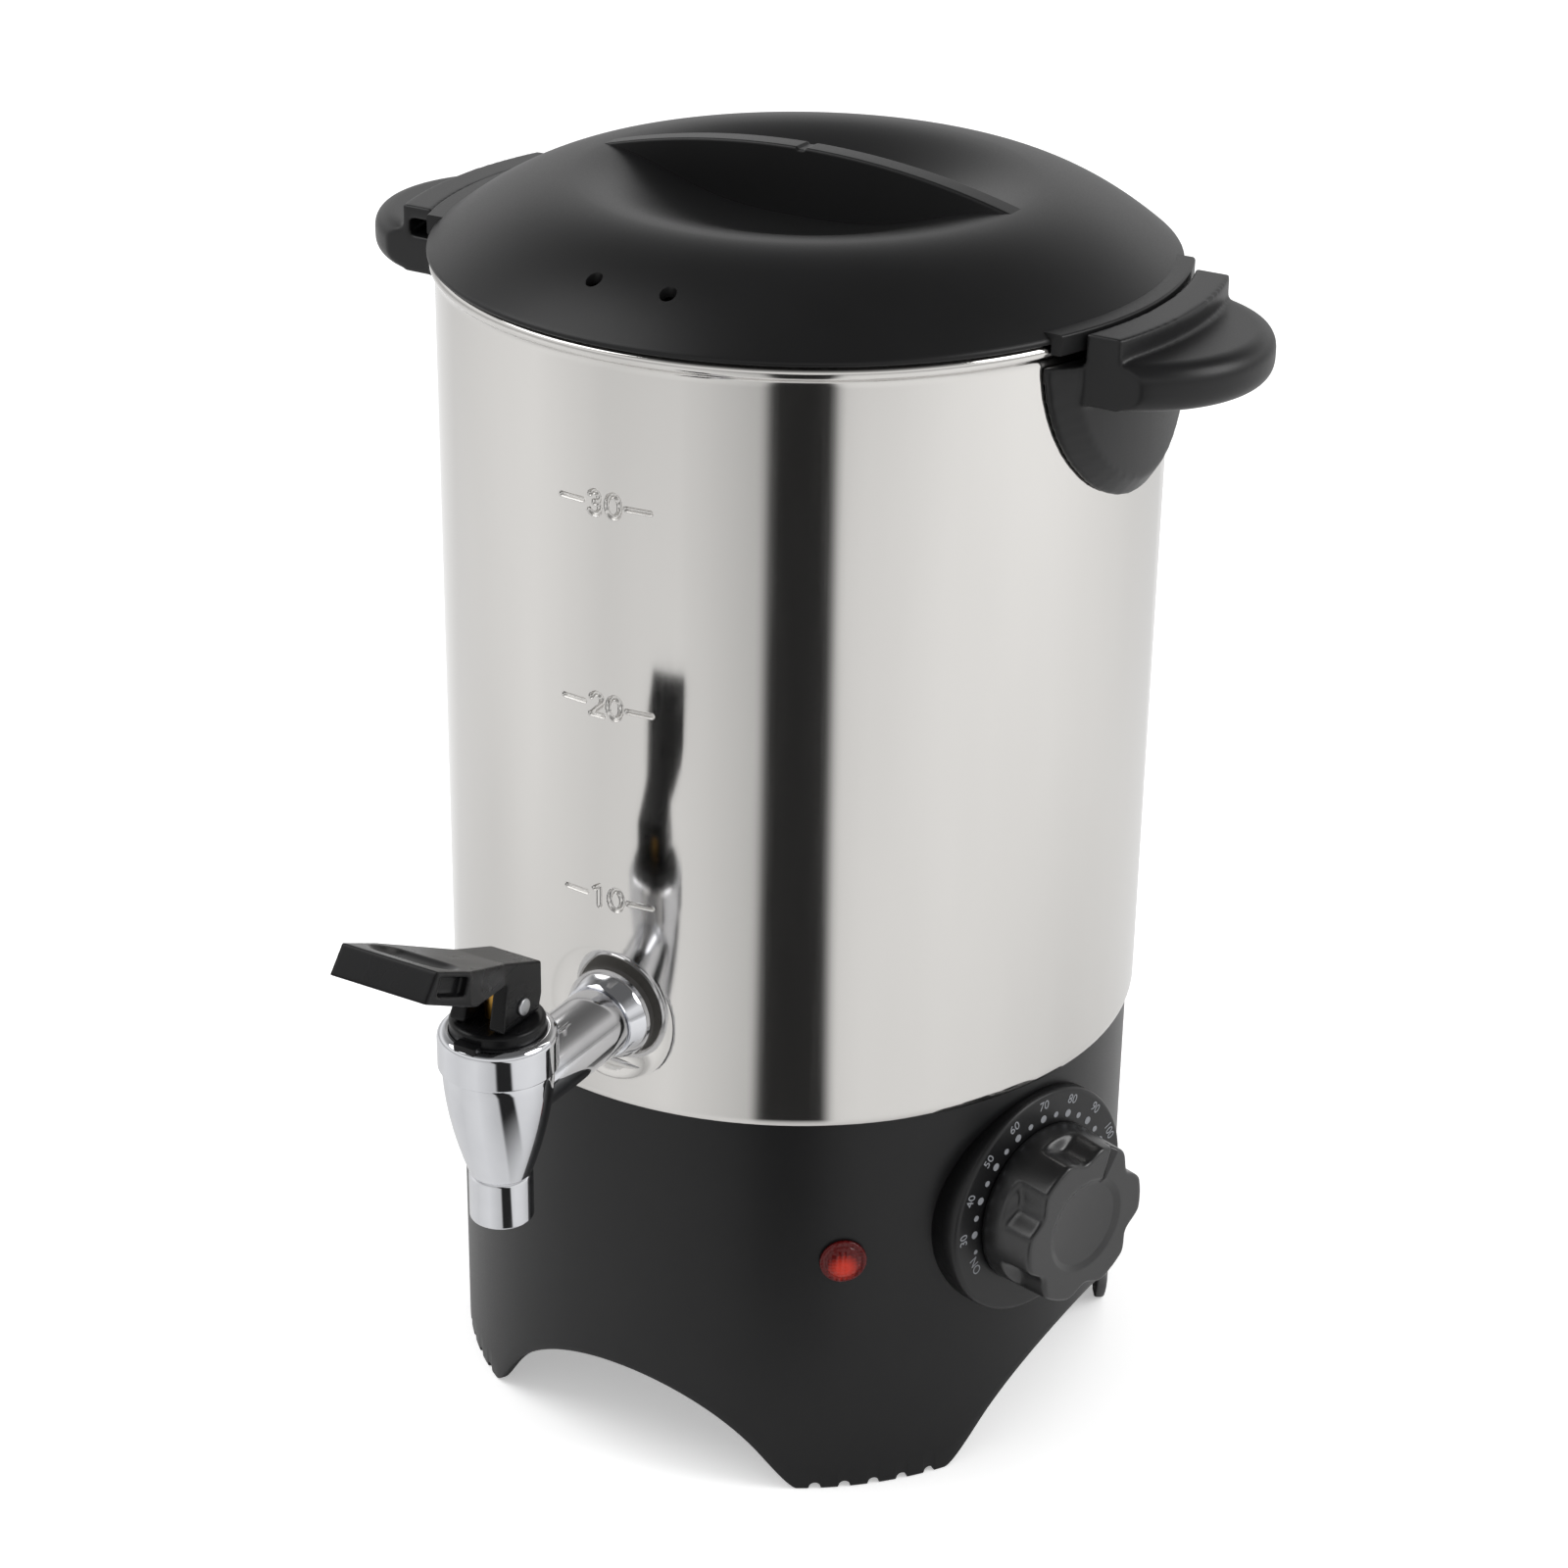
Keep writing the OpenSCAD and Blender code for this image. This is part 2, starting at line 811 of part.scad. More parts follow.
// Appliance inlet at the back of the base
module power_inlet() {
    color([0.08, 0.08, 0.08])
        difference() {
            union() {
                outward(180, base_r + inlet_flange_out - inlet_l, inlet_z)
                    translate([-inlet_w / 2, -inlet_h / 2, 0])
                        cube([inlet_w, inlet_h, inlet_l]);
                difference() {
                    outward(180, base_r - wall_cut, inlet_z)
                        translate([-inlet_flange[0] / 2, -inlet_flange[1] / 2, 0])
                            cube([inlet_flange[0], inlet_flange[1], inlet_flange_out + wall_cut]);
                    cylinder(h = z_under, r = base_r + eps);
                }
            }
            outward(180, base_r + inlet_flange_out - socket_depth, inlet_z)
                translate([-inlet_w / 2 + inlet_wall, -inlet_h / 2 + inlet_wall, 0])
                    cube([inlet_w - 2 * inlet_wall, inlet_h - 2 * inlet_wall, socket_depth + over]);
            for (i = [-1:1])
                inlet_pin(i, run_fit);
            for (side = [-1, 1])
                outward(180, 0, inlet_z)
                    translate([side * inlet_screw_at, 0, 0])
                        cylinder(h = far, d = inlet_screw_d + 2 * run_fit);
        }
}

module inlet_pin(i, grow) {
    outward(180, base_r + inlet_flange_out - socket_depth - pin_root - grow, inlet_z)
        translate([i * pin_pitch - pin_size[1] / 2 - grow, -pin_size[0] / 2 - grow, 0])
            cube([pin_size[1] + 2 * grow, pin_size[0] + 2 * grow, pin_root + pin_len + grow]);
}

// Three contact pins in the inlet
module inlet_pins() {
    color("gold")
        for (i = [-1:1])
            inlet_pin(i, 0);
}

// Two screws that hold the inlet
module inlet_screws() {
    color("gray")
        for (side = [-1, 1])
            outward(180, base_r + inlet_flange_out, inlet_z)
                translate([side * inlet_screw_at, 0, 0]) {
                    translate([0, 0, -inlet_screw_l])
                        cylinder(h = inlet_screw_l, d = inlet_screw_d);
                    cylinder(h = inlet_head_h, d = inlet_head_d);
                }
}

// Radius of the tapering barrel at a share of its height, counted from the collar
function barrel_at(t) = barrel_top_r - (barrel_top_r - barrel_low_r) * pow(t, barrel_power);

// Chromed tap: shank, neck, collar, barrel and spout in one casting
module tap_body() {
    color("whitesmoke")
        difference() {
            union() {
                translate([0, -tap_reach, 0])
                    rotate_extrude()
                        polygon(concat(
                            [[0, spout_z], [spout_d / 2, spout_z], [spout_d / 2, barrel_z]],
                            [for (i = [barrel_steps:-1:0])
                                let (t = i / barrel_steps)
                                    [barrel_at(t), cup_z - collar_h - barrel_h * t]],
                            [[collar_r, cup_z - collar_h], [collar_r, cup_z], [0, cup_z]]
                        ));
                outward(0, shank_end_r, tap_z)
                    cylinder(h = tap_reach - shank_end_r, d = shank_d);
                outward(0, flange_front_r + run_fit, tap_z)
                    cylinder(h = tap_reach - flange_front_r - run_fit, d = neck_d);
            }
            translate([0, -tap_reach, seat_top_z])
                cylinder(h = far, d = chamber_d);
            translate([0, -tap_reach, seat_top_z - seat_cone_h])
                cylinder(h = seat_cone_h + eps, d1 = spout_bore_d, d2 = chamber_d);
            translate([0, -tap_reach, spout_z - over])
                cylinder(h = far / 4, d = spout_bore_d);
            translate([0, -tap_reach, cup_z - plug_depth])
                cylinder(h = far, r = plug_r + run_fit);
            outward(0, shank_end_r - over, tap_z)
                cylinder(h = tap_reach - shank_end_r + over, d = shank_bore_d);
        }
}

// Bevelled ring that hides the washer
module tap_flange() {
    color("whitesmoke")
        outward(0, seat_r + gasket_t, tap_z)
            difference() {
                union() {
                    cylinder(h = flange_t - flange_bevel, d = flange_d);
                    translate([0, 0, flange_t - flange_bevel])
                        cylinder(h = flange_bevel, d1 = flange_d, d2 = shank_d + flange_nose);
                }
                translate([0, 0, -over])
                    cylinder(h = flange_t + 2 * over, d = shank_d + 2 * run_fit);
            }
}

module outer_gasket() {
    color([0.15, 0.15, 0.15])
        outward(0, seat_r, tap_z)
            ring(outer_gasket_d / 2, shank_d / 2 + run_fit, gasket_t);
}

module inner_gasket() {
    color("gainsboro")
        outward(0, seat_r - sheet_t - gasket_t, tap_z)
            ring(inner_gasket_d / 2, shank_d / 2 + run_fit, gasket_t);
}

// Lock nut on the shank inside the tank
module tap_nut() {
    color("silver")
        outward(0, seat_r - sheet_t - gasket_t - tap_nut_t, tap_z)
            difference() {
                cylinder(h = tap_nut_t, d = tap_nut_d, $fn = 6);
                translate([0, 0, -over])
                    cylinder(h = tap_nut_t + 2 * over, d = shank_d + 2 * run_fit);
            }
}

// Black bonnet in the top of the cup, which guides the stem and carries the lever's cheeks
module tap_bonnet() {
    color([0.1, 0.1, 0.1])
        translate([0, -tap_reach, 0])
            difference() {
                union() {
                    rotate_extrude()
                        polygon([
                            [0, cup_z - plug_depth],
                            [plug_r, cup_z - plug_depth],
                            [plug_r, cup_z],
                            [bonnet_r, cup_z],
                            [bonnet_r, bonnet_z - bonnet_round],
                            [bonnet_r - bonnet_round, bonnet_z],
                            [0, bonnet_z]
                        ]);
                    translate([-tab_w / 2, -collar_r + bonnet_step, cup_z])
                        cube([tab_w, collar_r - plug_r + tab_t, tab_t]);
                }
                translate([0, 0, cup_z - plug_depth - over])
                    cylinder(h = far, r = stem_r + run_fit);
            }
}

// Brass stem: disc for the spring below, hole for the pivot pin above
module tap_stem() {
    color("goldenrod")
        translate([0, -tap_reach, 0])
            difference() {
                union() {
                    translate([0, 0, stem_foot_z])
                        cylinder(h = pivot_z + stem_top - stem_foot_z, r = stem_r);
                    translate([0, 0, stem_foot_z])
                        cylinder(h = stem_disc_t, r = stem_disc_r);
                }
                translate([0, 0, pivot_z])
                    rotate([0, 90, 0])
                        cylinder(h = 2 * stem_d, r = pin_d / 2 + run_fit, center = true);
            }
}

// Soft valve cup that closes the seat above the spout
module valve_cup() {
    color("white")
        translate([0, -tap_reach, 0]) {
            translate([0, 0, seal_base_z + seat_cone_h / 2 + clear])
                cylinder(h = cup_seal_h - seat_cone_h / 2 - clear, r = cup_seal_r);
            translate([0, 0, seal_base_z])
                cylinder(
                    h = seat_cone_h / 2 + clear,
                    r1 = (spout_bore_d + chamber_d) / 4 - 2 * clear,
                    r2 = cup_seal_r
                );
        }
}

// Points of one ring of the spring's wire, square to the wire at turn a
function spring_ring(a) = [
    for (k = [0:spring_sides - 1])
        let (b = 360 / spring_sides * k, r = spring_r + spring_wire_r * cos(b))
            [
                r * cos(a),
                r * sin(a),
                spring_low + (spring_high - spring_low) * a / (360 * spring_turns) + spring_wire_r * sin(b)
            ]
];

// Return spring between the stem's disc and the bonnet
module tap_spring() {
    rings = spring_turns * spring_rings;
    sides = spring_sides;
    color("lightgray")
        translate([0, -tap_reach, 0])
            polyhedron(
                points = [for (i = [0:rings]) each spring_ring(360 / spring_rings * i)],
                faces = concat(
                    [[for (k = [0:sides - 1]) k]],
                    [for (i = [0:rings - 1]) for (k = [0:sides - 1])
                        [i * sides + k, (i + 1) * sides + k, (i + 1) * sides + (k + 1) % sides]],
                    [for (i = [0:rings - 1]) for (k = [0:sides - 1])
                        [i * sides + k, (i + 1) * sides + (k + 1) % sides, i * sides + (k + 1) % sides]],
                    [[for (k = [sides - 1:-1:0]) rings * sides + k]]
                )
            );
}

// Point of the cheek that bears on the bonnet when the lever has turned by a
function cam_point(a) =
    let (h = cam_drop + lift_rate * a * PI / 180)
        [lift_rate * cos(a) + h * sin(a), lift_rate * sin(a) - h * cos(a)];

// Black lever: two cheeks on the pivot pin, and a paddle that rises outwards
module lever() {
    color([0.06, 0.06, 0.06])
        translate([0, -tap_reach, pivot_z])
            difference() {
                intersection() {
                    side_view(paddle_w)
                        polygon(concat(
                            [[-heel_back, 0], [-heel_back + heel_chamfer, -cam_drop]],
                            [for (i = [0:cam_steps]) cam_point(lever_swing * i / cam_steps)],
                            [
                                [cheek_front, cheek_top],
                                [neck_out, neck_low],
                                [paddle_out + front_lean, front_low],
                                [paddle_out, paddle_up],
                                [fold_out, fold_up],
                                [-heel_back, heel_up]
                            ]
                        ));
                    translate([0, 0, -far / 4])
                        linear_extrude(far / 2)
                            polygon([
                                [-heel_w / 2, heel_back],
                                [-heel_w / 2, -fold_out],
                                [-paddle_w / 2, -head_from],
                                [-paddle_w / 2, -far],
                                [paddle_w / 2, -far],
                                [paddle_w / 2, -head_from],
                                [heel_w / 2, -fold_out],
                                [heel_w / 2, heel_back]
                            ]);
                }
                side_view(2 * cheek_in)
                    polygon([
                        [-2 * heel_back, -far],
                        [2 * heel_back, -far],
                        [2 * heel_back, cheek_top],
                        [cheek_front, fold_up - bridge_t + (cheek_front - fold_out) * tan(heel_rise)],
                        [-2 * heel_back, fold_up - bridge_t - (2 * heel_back + fold_out) * tan(heel_rise)]
                    ]);
                rotate([0, 90, 0])
                    cylinder(h = far, r = pin_d / 2 + run_fit / 2, center = true);
                for (side = [-1, 1])
                    translate([side * paddle_w / 2, -pocket_at, pocket_up])
                        rotate([-paddle_rise, 0, 0])
                            cube([2 * pocket_depth, pocket_l, pocket_h], center = true);
                translate([0, -thumb_at, fold_up + (thumb_at - fold_out) * tan(paddle_rise)])
                    rotate([-paddle_rise, 0, 0])
                        translate([0, 0, thumb_r - thumb_depth]) {
                            rotate([0, 90, 0])
                                cylinder(h = 2 * thumb_half, r = thumb_r, center = true);
                            for (side = [-1, 1])
                                translate([side * thumb_half, 0, 0])
                                    sphere(thumb_r);
                        }
            }
}

// Headed steel pin through both cheeks and the stem
module lever_pin() {
    color("silver")
        translate([0, -tap_reach, pivot_z])
            rotate([0, 90, 0]) {
                cylinder(h = heel_w + 2 * pin_head_t, r = pin_d / 2, center = true);
                for (side = [-1, 1])
                    translate([0, 0, side * (heel_w + pin_head_t) / 2 + side * eps])
                        cylinder(h = pin_head_t, d = pin_head_d, center = true);
            }
}

// Outline of the tongue, drawn as distance across and height below the shelf's top
function tongue_outline(half, drop) = [
    for (i = [-tongue_steps / 2:tongue_steps / 2])
        let (t = 180 * i / tongue_steps, c = abs(cos(t)), s = abs(sin(t)))
            [sign(t) * half * pow(s, 2 / tongue_power), -drop * pow(c, 2 / tongue_power)]
];

// One layer of the tongue, out to radius r
module tongue_layer(inset, r) {
    intersection() {
        translate([0, 0, shelf_z])
            rotate([90, 0, 0])
                linear_extrude(far)
                    polygon(tongue_outline(tongue_half - inset, tongue_h - inset));
        translate([0, 0, shelf_z - 2 * tongue_h])
            cylinder(h = 2 * tongue_h - over, r = r);
    }
}

// One black handle: shelf, tongue against the tank and a lip, grooved within, beside the lid's lug
module handle(az) {
    color([0.11, 0.11, 0.12])
        rotate([0, 0, az])
            difference() {
                union() {
                    intersection() {
                        union() {
                            translate([0, -shelf_mid, shelf_low])
                                rotate_extrude()
                                    rounded_slab(shelf_r, shelf_t, shelf_edge);
                            translate([0, 0, shelf_low])
                                cylinder(h = lip_z - shelf_low, r = lip_ro);
                        }
                        translate([-lip_w / 2, -far, 0])
                            cube([lip_w, far, far]);
                    }
                    for (i = [0:tongue_layers])
                        let (t = i / tongue_layers)
                            tongue_layer(tongue_band * t, tank_r + tongue_t - tongue_step_t * (1 - t));
                }
                translate([0, 0, z_edge])
                    cylinder(h = far, r = hug_r);
                translate([0, 0, ledge_z])
                    cylinder(h = far, r = lip_ri);
                intersection() {
                    translate([0, 0, ledge_z])
                        cylinder(h = lip_z - groove_roof - ledge_z, r = lip_ro - groove_wall);
                    translate([groove_stop - lip_w / 2, -far, 0])
                        cube([far, far, far]);
                }
                for (step = [-1, 1])
                    outward(step * handle_screw_az, tank_r - wall_cut, handle_screw_z)
                        cylinder(h = wall_cut + handle_screw_in, r = handle_screw_d / 2 + run_fit);
            }
}

module handle_right() {
    handle(handle_az);
}

module handle_left() {
    handle(-handle_az);
}

// Screws from inside the tank into the handles
module handle_screws() {
    color("silver") {
        handle_screw_holes(handle_screw_d / 2, washer_r, handle_screw_in + tank_r - washer_r - run_fit);
        handle_screw_holes(handle_head_d / 2, washer_r - handle_head_h, handle_head_h);
    }
}

// Sealing washers under the heads of those screws
module handle_washers() {
    color("gainsboro")
        for (side = [-1, 1])
            for (step = [-1, 1])
                outward(side * handle_az + step * handle_screw_az, washer_r, handle_screw_z)
                    ring(washer_d / 2, handle_screw_d / 2 + run_fit, washer_t);
}

// Height of the lid's bowl above the rim at radius r
function bowl_height(r) = bowl_up + (crest_up - bowl_up) * (1 - cos(180 * pow(r / crest_r, bowl_power))) / 2;

// Points of the lid's upper face from the axis to the crest, lowered by d
function bowl_points(d) = [
    for (i = [0:lid_steps])
        [crest_r * i / lid_steps, z_rim + bowl_height(crest_r * i / lid_steps) - d]
];

// Points of the lid's dome from the crest to the edge, drawn in by d
function dome_points(d) = [
    for (i = [1:lid_steps])
        let (t = i / lid_steps)
            [
                crest_r + (lid_r - d - crest_r) * t,
                z_rim + lid_edge_up + (crest_up - d - lid_edge_up) * (1 - pow(t, dome_power))
            ]
];

// Height of the lid's upper face at radius r, for the foot of the grip
function lid_height(r) = r < crest_r
    ? bowl_height(r)
    : lid_edge_up + (crest_up - lid_edge_up) * (1 - pow((r - crest_r) / (lid_r - crest_r), dome_power));

// Black domed lid with a bowl, a straight grip across it and two lugs at the edge
module lid_shell() {
    grip_rise = grip_up - crest_up + grip_sink;
    arc_r = (grip_half * grip_half + grip_rise * grip_rise) / (2 * grip_rise);
    arc_a = asin(grip_half / arc_r);
    color([0.1, 0.1, 0.11])
        difference() {
            union() {
                rotate_extrude()
                    polygon(concat(
                        bowl_points(0),
                        dome_points(0),
                        [[lid_r, lid_z], [lid_r - lid_t, lid_z]],
                        [for (i = [lid_steps - 1:-1:0]) dome_points(lid_t)[i]],
                        [for (i = [lid_steps:-1:0]) bowl_points(lid_t)[i]]
                    ));
                translate([0, 0, lid_z])
                    ring(lid_r - over, plug_out - plug_w, rail_t);
                translate([0, 0, z_rim - plug_drop])
                    ring(plug_out, plug_out - plug_w, plug_drop + rail_t);
                rotate([90, 0, 0])
                    linear_extrude(grip_t, center = true)
                        polygon(concat(
                            [for (i = [-lid_steps:lid_steps])
                                let (t = arc_a * i / lid_steps)
                                    [arc_r * sin(t), z_rim + grip_up - arc_r * (1 - cos(t))]],
                            [for (i = [lid_steps:-1:-lid_steps])
                                let (x = grip_half * i / lid_steps)
                                    [x, z_rim + lid_height(abs(x)) - lid_t / 2]]
                        ));
                for (side = [-1, 1])
                    intersection() {
                        union() {
                            translate([0, 0, lid_z])
                                ring(lug_r, lug_in, lug_up);
                            translate([0, 0, z_rim - lug_skirt])
                                ring(lug_r, skirt_in, lug_skirt + over);
                        }
                        rotate([0, 0, side * handle_az])
                            translate([-lug_half, -far, 0])
                                cube([2 * lug_half, far, far * 2]);
                    }
            }
            for (side = [-1, 1])
                rotate([0, 0, side * vent_az])
                    translate([0, -vent_at, z_rim])
                        cylinder(h = far / 4, d = vent_d);
        }
}

// Silicone ring round the lid's plug
module lid_seal() {
    color("white")
        translate([0, 0, seal_low])
            ring(seal_out, seal_in, seal_h);
}

tank();
base_shell();
bottom_cover();
base_screws();
heater_plate();
heating_element();
thermal_cutout();
tie_rods();
tie_nuts();
terminal_block();
thermostat();
thermostat_bulb();
thermostat_nut();
thermostat_shaft();
dial_bezel();
knob();
lamp_lens();
lamp_holder();
power_inlet();
inlet_pins();
inlet_screws();
tap_body();
tap_flange();
outer_gasket();
inner_gasket();
tap_nut();
tap_bonnet();
tap_stem();
valve_cup();
tap_spring();
lever();
lever_pin();
handle_right();
handle_left();
handle_screws();
handle_washers();
lid_shell();
lid_seal();
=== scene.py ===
import math

import bmesh
import bpy
import numpy as np
from mathutils import Matrix, Vector


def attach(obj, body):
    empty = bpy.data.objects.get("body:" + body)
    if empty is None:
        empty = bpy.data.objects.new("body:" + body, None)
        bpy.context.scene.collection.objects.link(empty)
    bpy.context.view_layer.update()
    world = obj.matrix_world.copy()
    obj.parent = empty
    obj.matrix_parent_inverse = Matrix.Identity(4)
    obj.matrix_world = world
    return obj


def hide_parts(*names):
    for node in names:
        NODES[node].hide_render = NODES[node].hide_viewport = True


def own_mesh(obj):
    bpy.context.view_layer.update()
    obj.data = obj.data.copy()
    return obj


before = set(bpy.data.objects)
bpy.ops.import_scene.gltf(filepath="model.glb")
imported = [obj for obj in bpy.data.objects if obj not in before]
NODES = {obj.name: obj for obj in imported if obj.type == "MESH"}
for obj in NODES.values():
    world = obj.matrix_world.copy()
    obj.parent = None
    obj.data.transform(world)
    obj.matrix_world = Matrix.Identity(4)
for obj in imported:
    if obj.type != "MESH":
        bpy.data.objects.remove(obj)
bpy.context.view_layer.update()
MM = 0.001
# Radius that stands for the axis in turned profiles, and distance at which points are one
AXIS_R = 0.01
WELD = 1e-7

# Sizes of the urn in millimetres, most of them as the solids have them
TANK_R = 100.0
SHEET = 1.0
EDGE_Z = 121.0
FLOOR_Z = 128.0
RIM_Z = 337.0
RIM_R = 2.0
SEAT_FACE = 96.5
SEAT_R = 17.5
CONE_START = 4.5
CONE_WIDTH = 6.7
CONE_STRAIGHT = 0.65
TAP_Z = 147.6
TAP_REACH = 151.6
CUP_Z = 167.5
BONNET_FOOT = CUP_Z - 8
PIVOT_Z = 176.5
STEM_FOOT = 139.0
STEM_DISC = 2.0
BASE_R = 98.3
BASE_WALL = 3.0
ARCH_W = 98.0
ARCH_H = 33.0
NOTCH_R = 1.8
NOTCH_STEP = 5.0
NOTCH_N = 5
FEET_AZ = (45, 135, 225, 315)
TOE_ROUND = 11.0
LID_R = 102.0
LID_T = 3.0
LID_GAP = 0.3
PLUG_OUT = 95.0
PLUG_IN = 92.0
PLUG_DEEP = 8
CREST_R = 62.0
CREST_UP = 20.0
BOWL_UP = 9.5
EDGE_UP = 1.5
BOWL_POWER = 1.5
DOME_POWER = 1.8
GRIP_HALF = 65.0
GRIP_UP = 28.3
GRIP_T = 7.0
VENT_R = 2.2
VENT_AT = 87.5
VENT_AZ = (-7.2, 7.2)
LUG_R = 104.8
LUG_HALF = 39.5
SKIRT_IN = 102.0
SKIRT_DROP = 2.3
DIAL_AZ = 74.0
DIAL_Z = 82.5
BEZEL_R = 34.0
BEZEL_FACE = 101.5
KNOB_FOOT = 101.8
KNOB_H = 17.5
KNOB_R = 24.0
POINTER_AZ = 27.0
LAMP_AZ = 38.8
LAMP_Z = 77.0
LENS_R = 6.6
INLET_Z = 82.0
INLET_W = 28.1
INLET_H = 20.1


def linear(code):
    """A written sRGB colour as linear values with full alpha."""
    parts = [int(code[i:i + 2], 16) / 255 for i in (1, 3, 5)]
    return [c / 12.92 if c <= 0.04045 else ((c + 0.055) / 1.055) ** 2.4 for c in parts] + [1.0]


def add(tree, kind, links=(), **settings):
    """One shader node: settings name its fields or input sockets, links join (input, node, output)."""
    made = tree.nodes.new(kind)
    for name, value in settings.items():
        if name in made.inputs:
            made.inputs[name].default_value = value
        else:
            setattr(made, name, value)
    for socket, source, output in links:
        tree.links.new(source.outputs[output], made.inputs[socket])
    return made


def finish_of(name, **sockets):
    """A new material with one Principled shader whose plain values sit on its own sockets."""
    material = bpy.data.materials.new(name)
    material.use_nodes = True
    tree = material.node_tree
    shader = tree.nodes["Principled BSDF"]
    for socket, value in sockets.items():
        shader.inputs[socket.replace("_", " ")].default_value = value
    return material, tree, shader


def vary(tree, shader, socket, source, low, high):
    """Spreads a 0 to 1 pattern over a range of values on one socket."""
    spread = add(tree, "ShaderNodeMapRange", [("Value", source, 0)], **{"To Min": low, "To Max": high})
    tree.links.new(spread.outputs[0], shader.inputs[socket])


def tint(tree, shader, source, dark, light):
    """Spreads a 0 to 1 pattern between two colours on the base colour."""
    ramp = add(tree, "ShaderNodeValToRGB", [("Fac", source, 0)])
    ramp.color_ramp.elements[0].color = linear(dark)
    ramp.color_ramp.elements[1].color = linear(light)
    tree.links.new(ramp.outputs[0], shader.inputs["Base Color"])


def grey_ramp(tree, source, output, stops):
    """A ramp of greys through (position, tone) stops."""
    ramp = add(tree, "ShaderNodeValToRGB", [("Fac", source, output)])
    elements = ramp.color_ramp.elements
    while len(elements) < len(stops):
        elements.new(0.5)
    for element, (position, tone) in zip(elements, stops):
        element.position = position
        element.color = (tone, tone, tone, 1)
    return ramp


def relief(tree, shader, source, depth_mm, strength):
    """Raises the surface by a pattern whose full height is given in millimetres."""
    bump = add(tree, "ShaderNodeBump", [("Height", source, 0)], Strength=strength, Distance=depth_mm * MM)
    tree.links.new(bump.outputs[0], shader.inputs["Normal"])


def grain(tree, size_mm, stretch=(1, 1, 1), detail=3.0):
    """Noise whose grains have a real size, drawn out along the axes by stretch."""
    place = add(tree, "ShaderNodeTexCoord")
    drawn = add(tree, "ShaderNodeMapping", [("Vector", place, "Object")], Scale=[1 / s for s in stretch])
    return add(tree, "ShaderNodeTexNoise", [("Vector", drawn, 0)], Scale=1 / (size_mm * MM), Detail=detail)


def stainless(name, rough):
    # Stainless sheet, rolled and then buffed upright: a little warm, with faint long waves, and a mirror
    # where it is well polished
    made, tree, shader = finish_of(name, Metallic=1.0)
    waves = grain(tree, size_mm=26, stretch=(1, 1, 5), detail=2.0)
    tint(tree, shader, waves, "#d0cecb", "#d8d6d3")
    buffing = grain(tree, size_mm=1.2, stretch=(1, 1, 30))
    vary(tree, shader, "Roughness", buffing, low=rough - 0.03, high=rough + 0.03)
    relief(tree, shader, waves, depth_mm=0.15, strength=0.06)
    return made


def satin_abs(name, dark, light, rough, shine):
    # Moulded ABS from a spark-textured mould: deep black with a fine even grit that breaks up the gloss
    made, tree, shader = finish_of(name, Specular_IOR_Level=shine)
    cloud = grain(tree, size_mm=18, detail=2.0)
    tint(tree, shader, cloud, dark, light)
    # The mould's grit is about 0.1 mm, drawn at 0.5 mm so that it shows
    grit = grain(tree, size_mm=0.5, detail=2.0)
    vary(tree, shader, "Roughness", grit, low=rough - 0.05, high=rough + 0.05)
    relief(tree, shader, grit, depth_mm=0.03, strength=0.25)
    return made


def gloss_abs():
    # Moulded ABS from a polished mould: black, soft reflections with a trace of flow lines
    made, tree, shader = finish_of("gloss_black_abs", Specular_IOR_Level=0.18)
    flow = grain(tree, size_mm=9, stretch=(1, 4, 1), detail=2.0)
    tint(tree, shader, flow, "#0e0e0f", "#141415")
    vary(tree, shader, "Roughness", flow, low=0.24, high=0.32)
    return made


def bright_chrome():
    # Bright chrome on cast brass: a clean cool mirror with a slight unevenness of the casting beneath
    made, tree, shader = finish_of("bright_chrome_plate", Metallic=1.0)
    cast = grain(tree, size_mm=7, detail=2.0)
    tint(tree, shader, cast, "#d0d1d5", "#dadbde")
    vary(tree, shader, "Roughness", cast, low=0.035, high=0.07)
    relief(tree, shader, cast, depth_mm=0.05, strength=0.05)
    return made


def turned_metal(name, dark, light, rough):
    # Turned or drawn metal: rings of fine tool marks give a soft streaked sheen
    made, tree, shader = finish_of(name, Metallic=1.0)
    marks = grain(tree, size_mm=0.6, stretch=(1, 1, 6))
    tint(tree, shader, marks, dark, light)
    vary(tree, shader, "Roughness", marks, low=rough - 0.06, high=rough + 0.08)
    return made


def dull_moulding(name, dark, light, rough):
    # Ceramic, resin, rubber or silicone: a dull surface with a faint uneven tone
    made, tree, shader = finish_of(name)
    cloud = grain(tree, size_mm=4)
    tint(tree, shader, cloud, dark, light)
    vary(tree, shader, "Roughness", cloud, low=rough - 0.06, high=rough + 0.06)
    return made


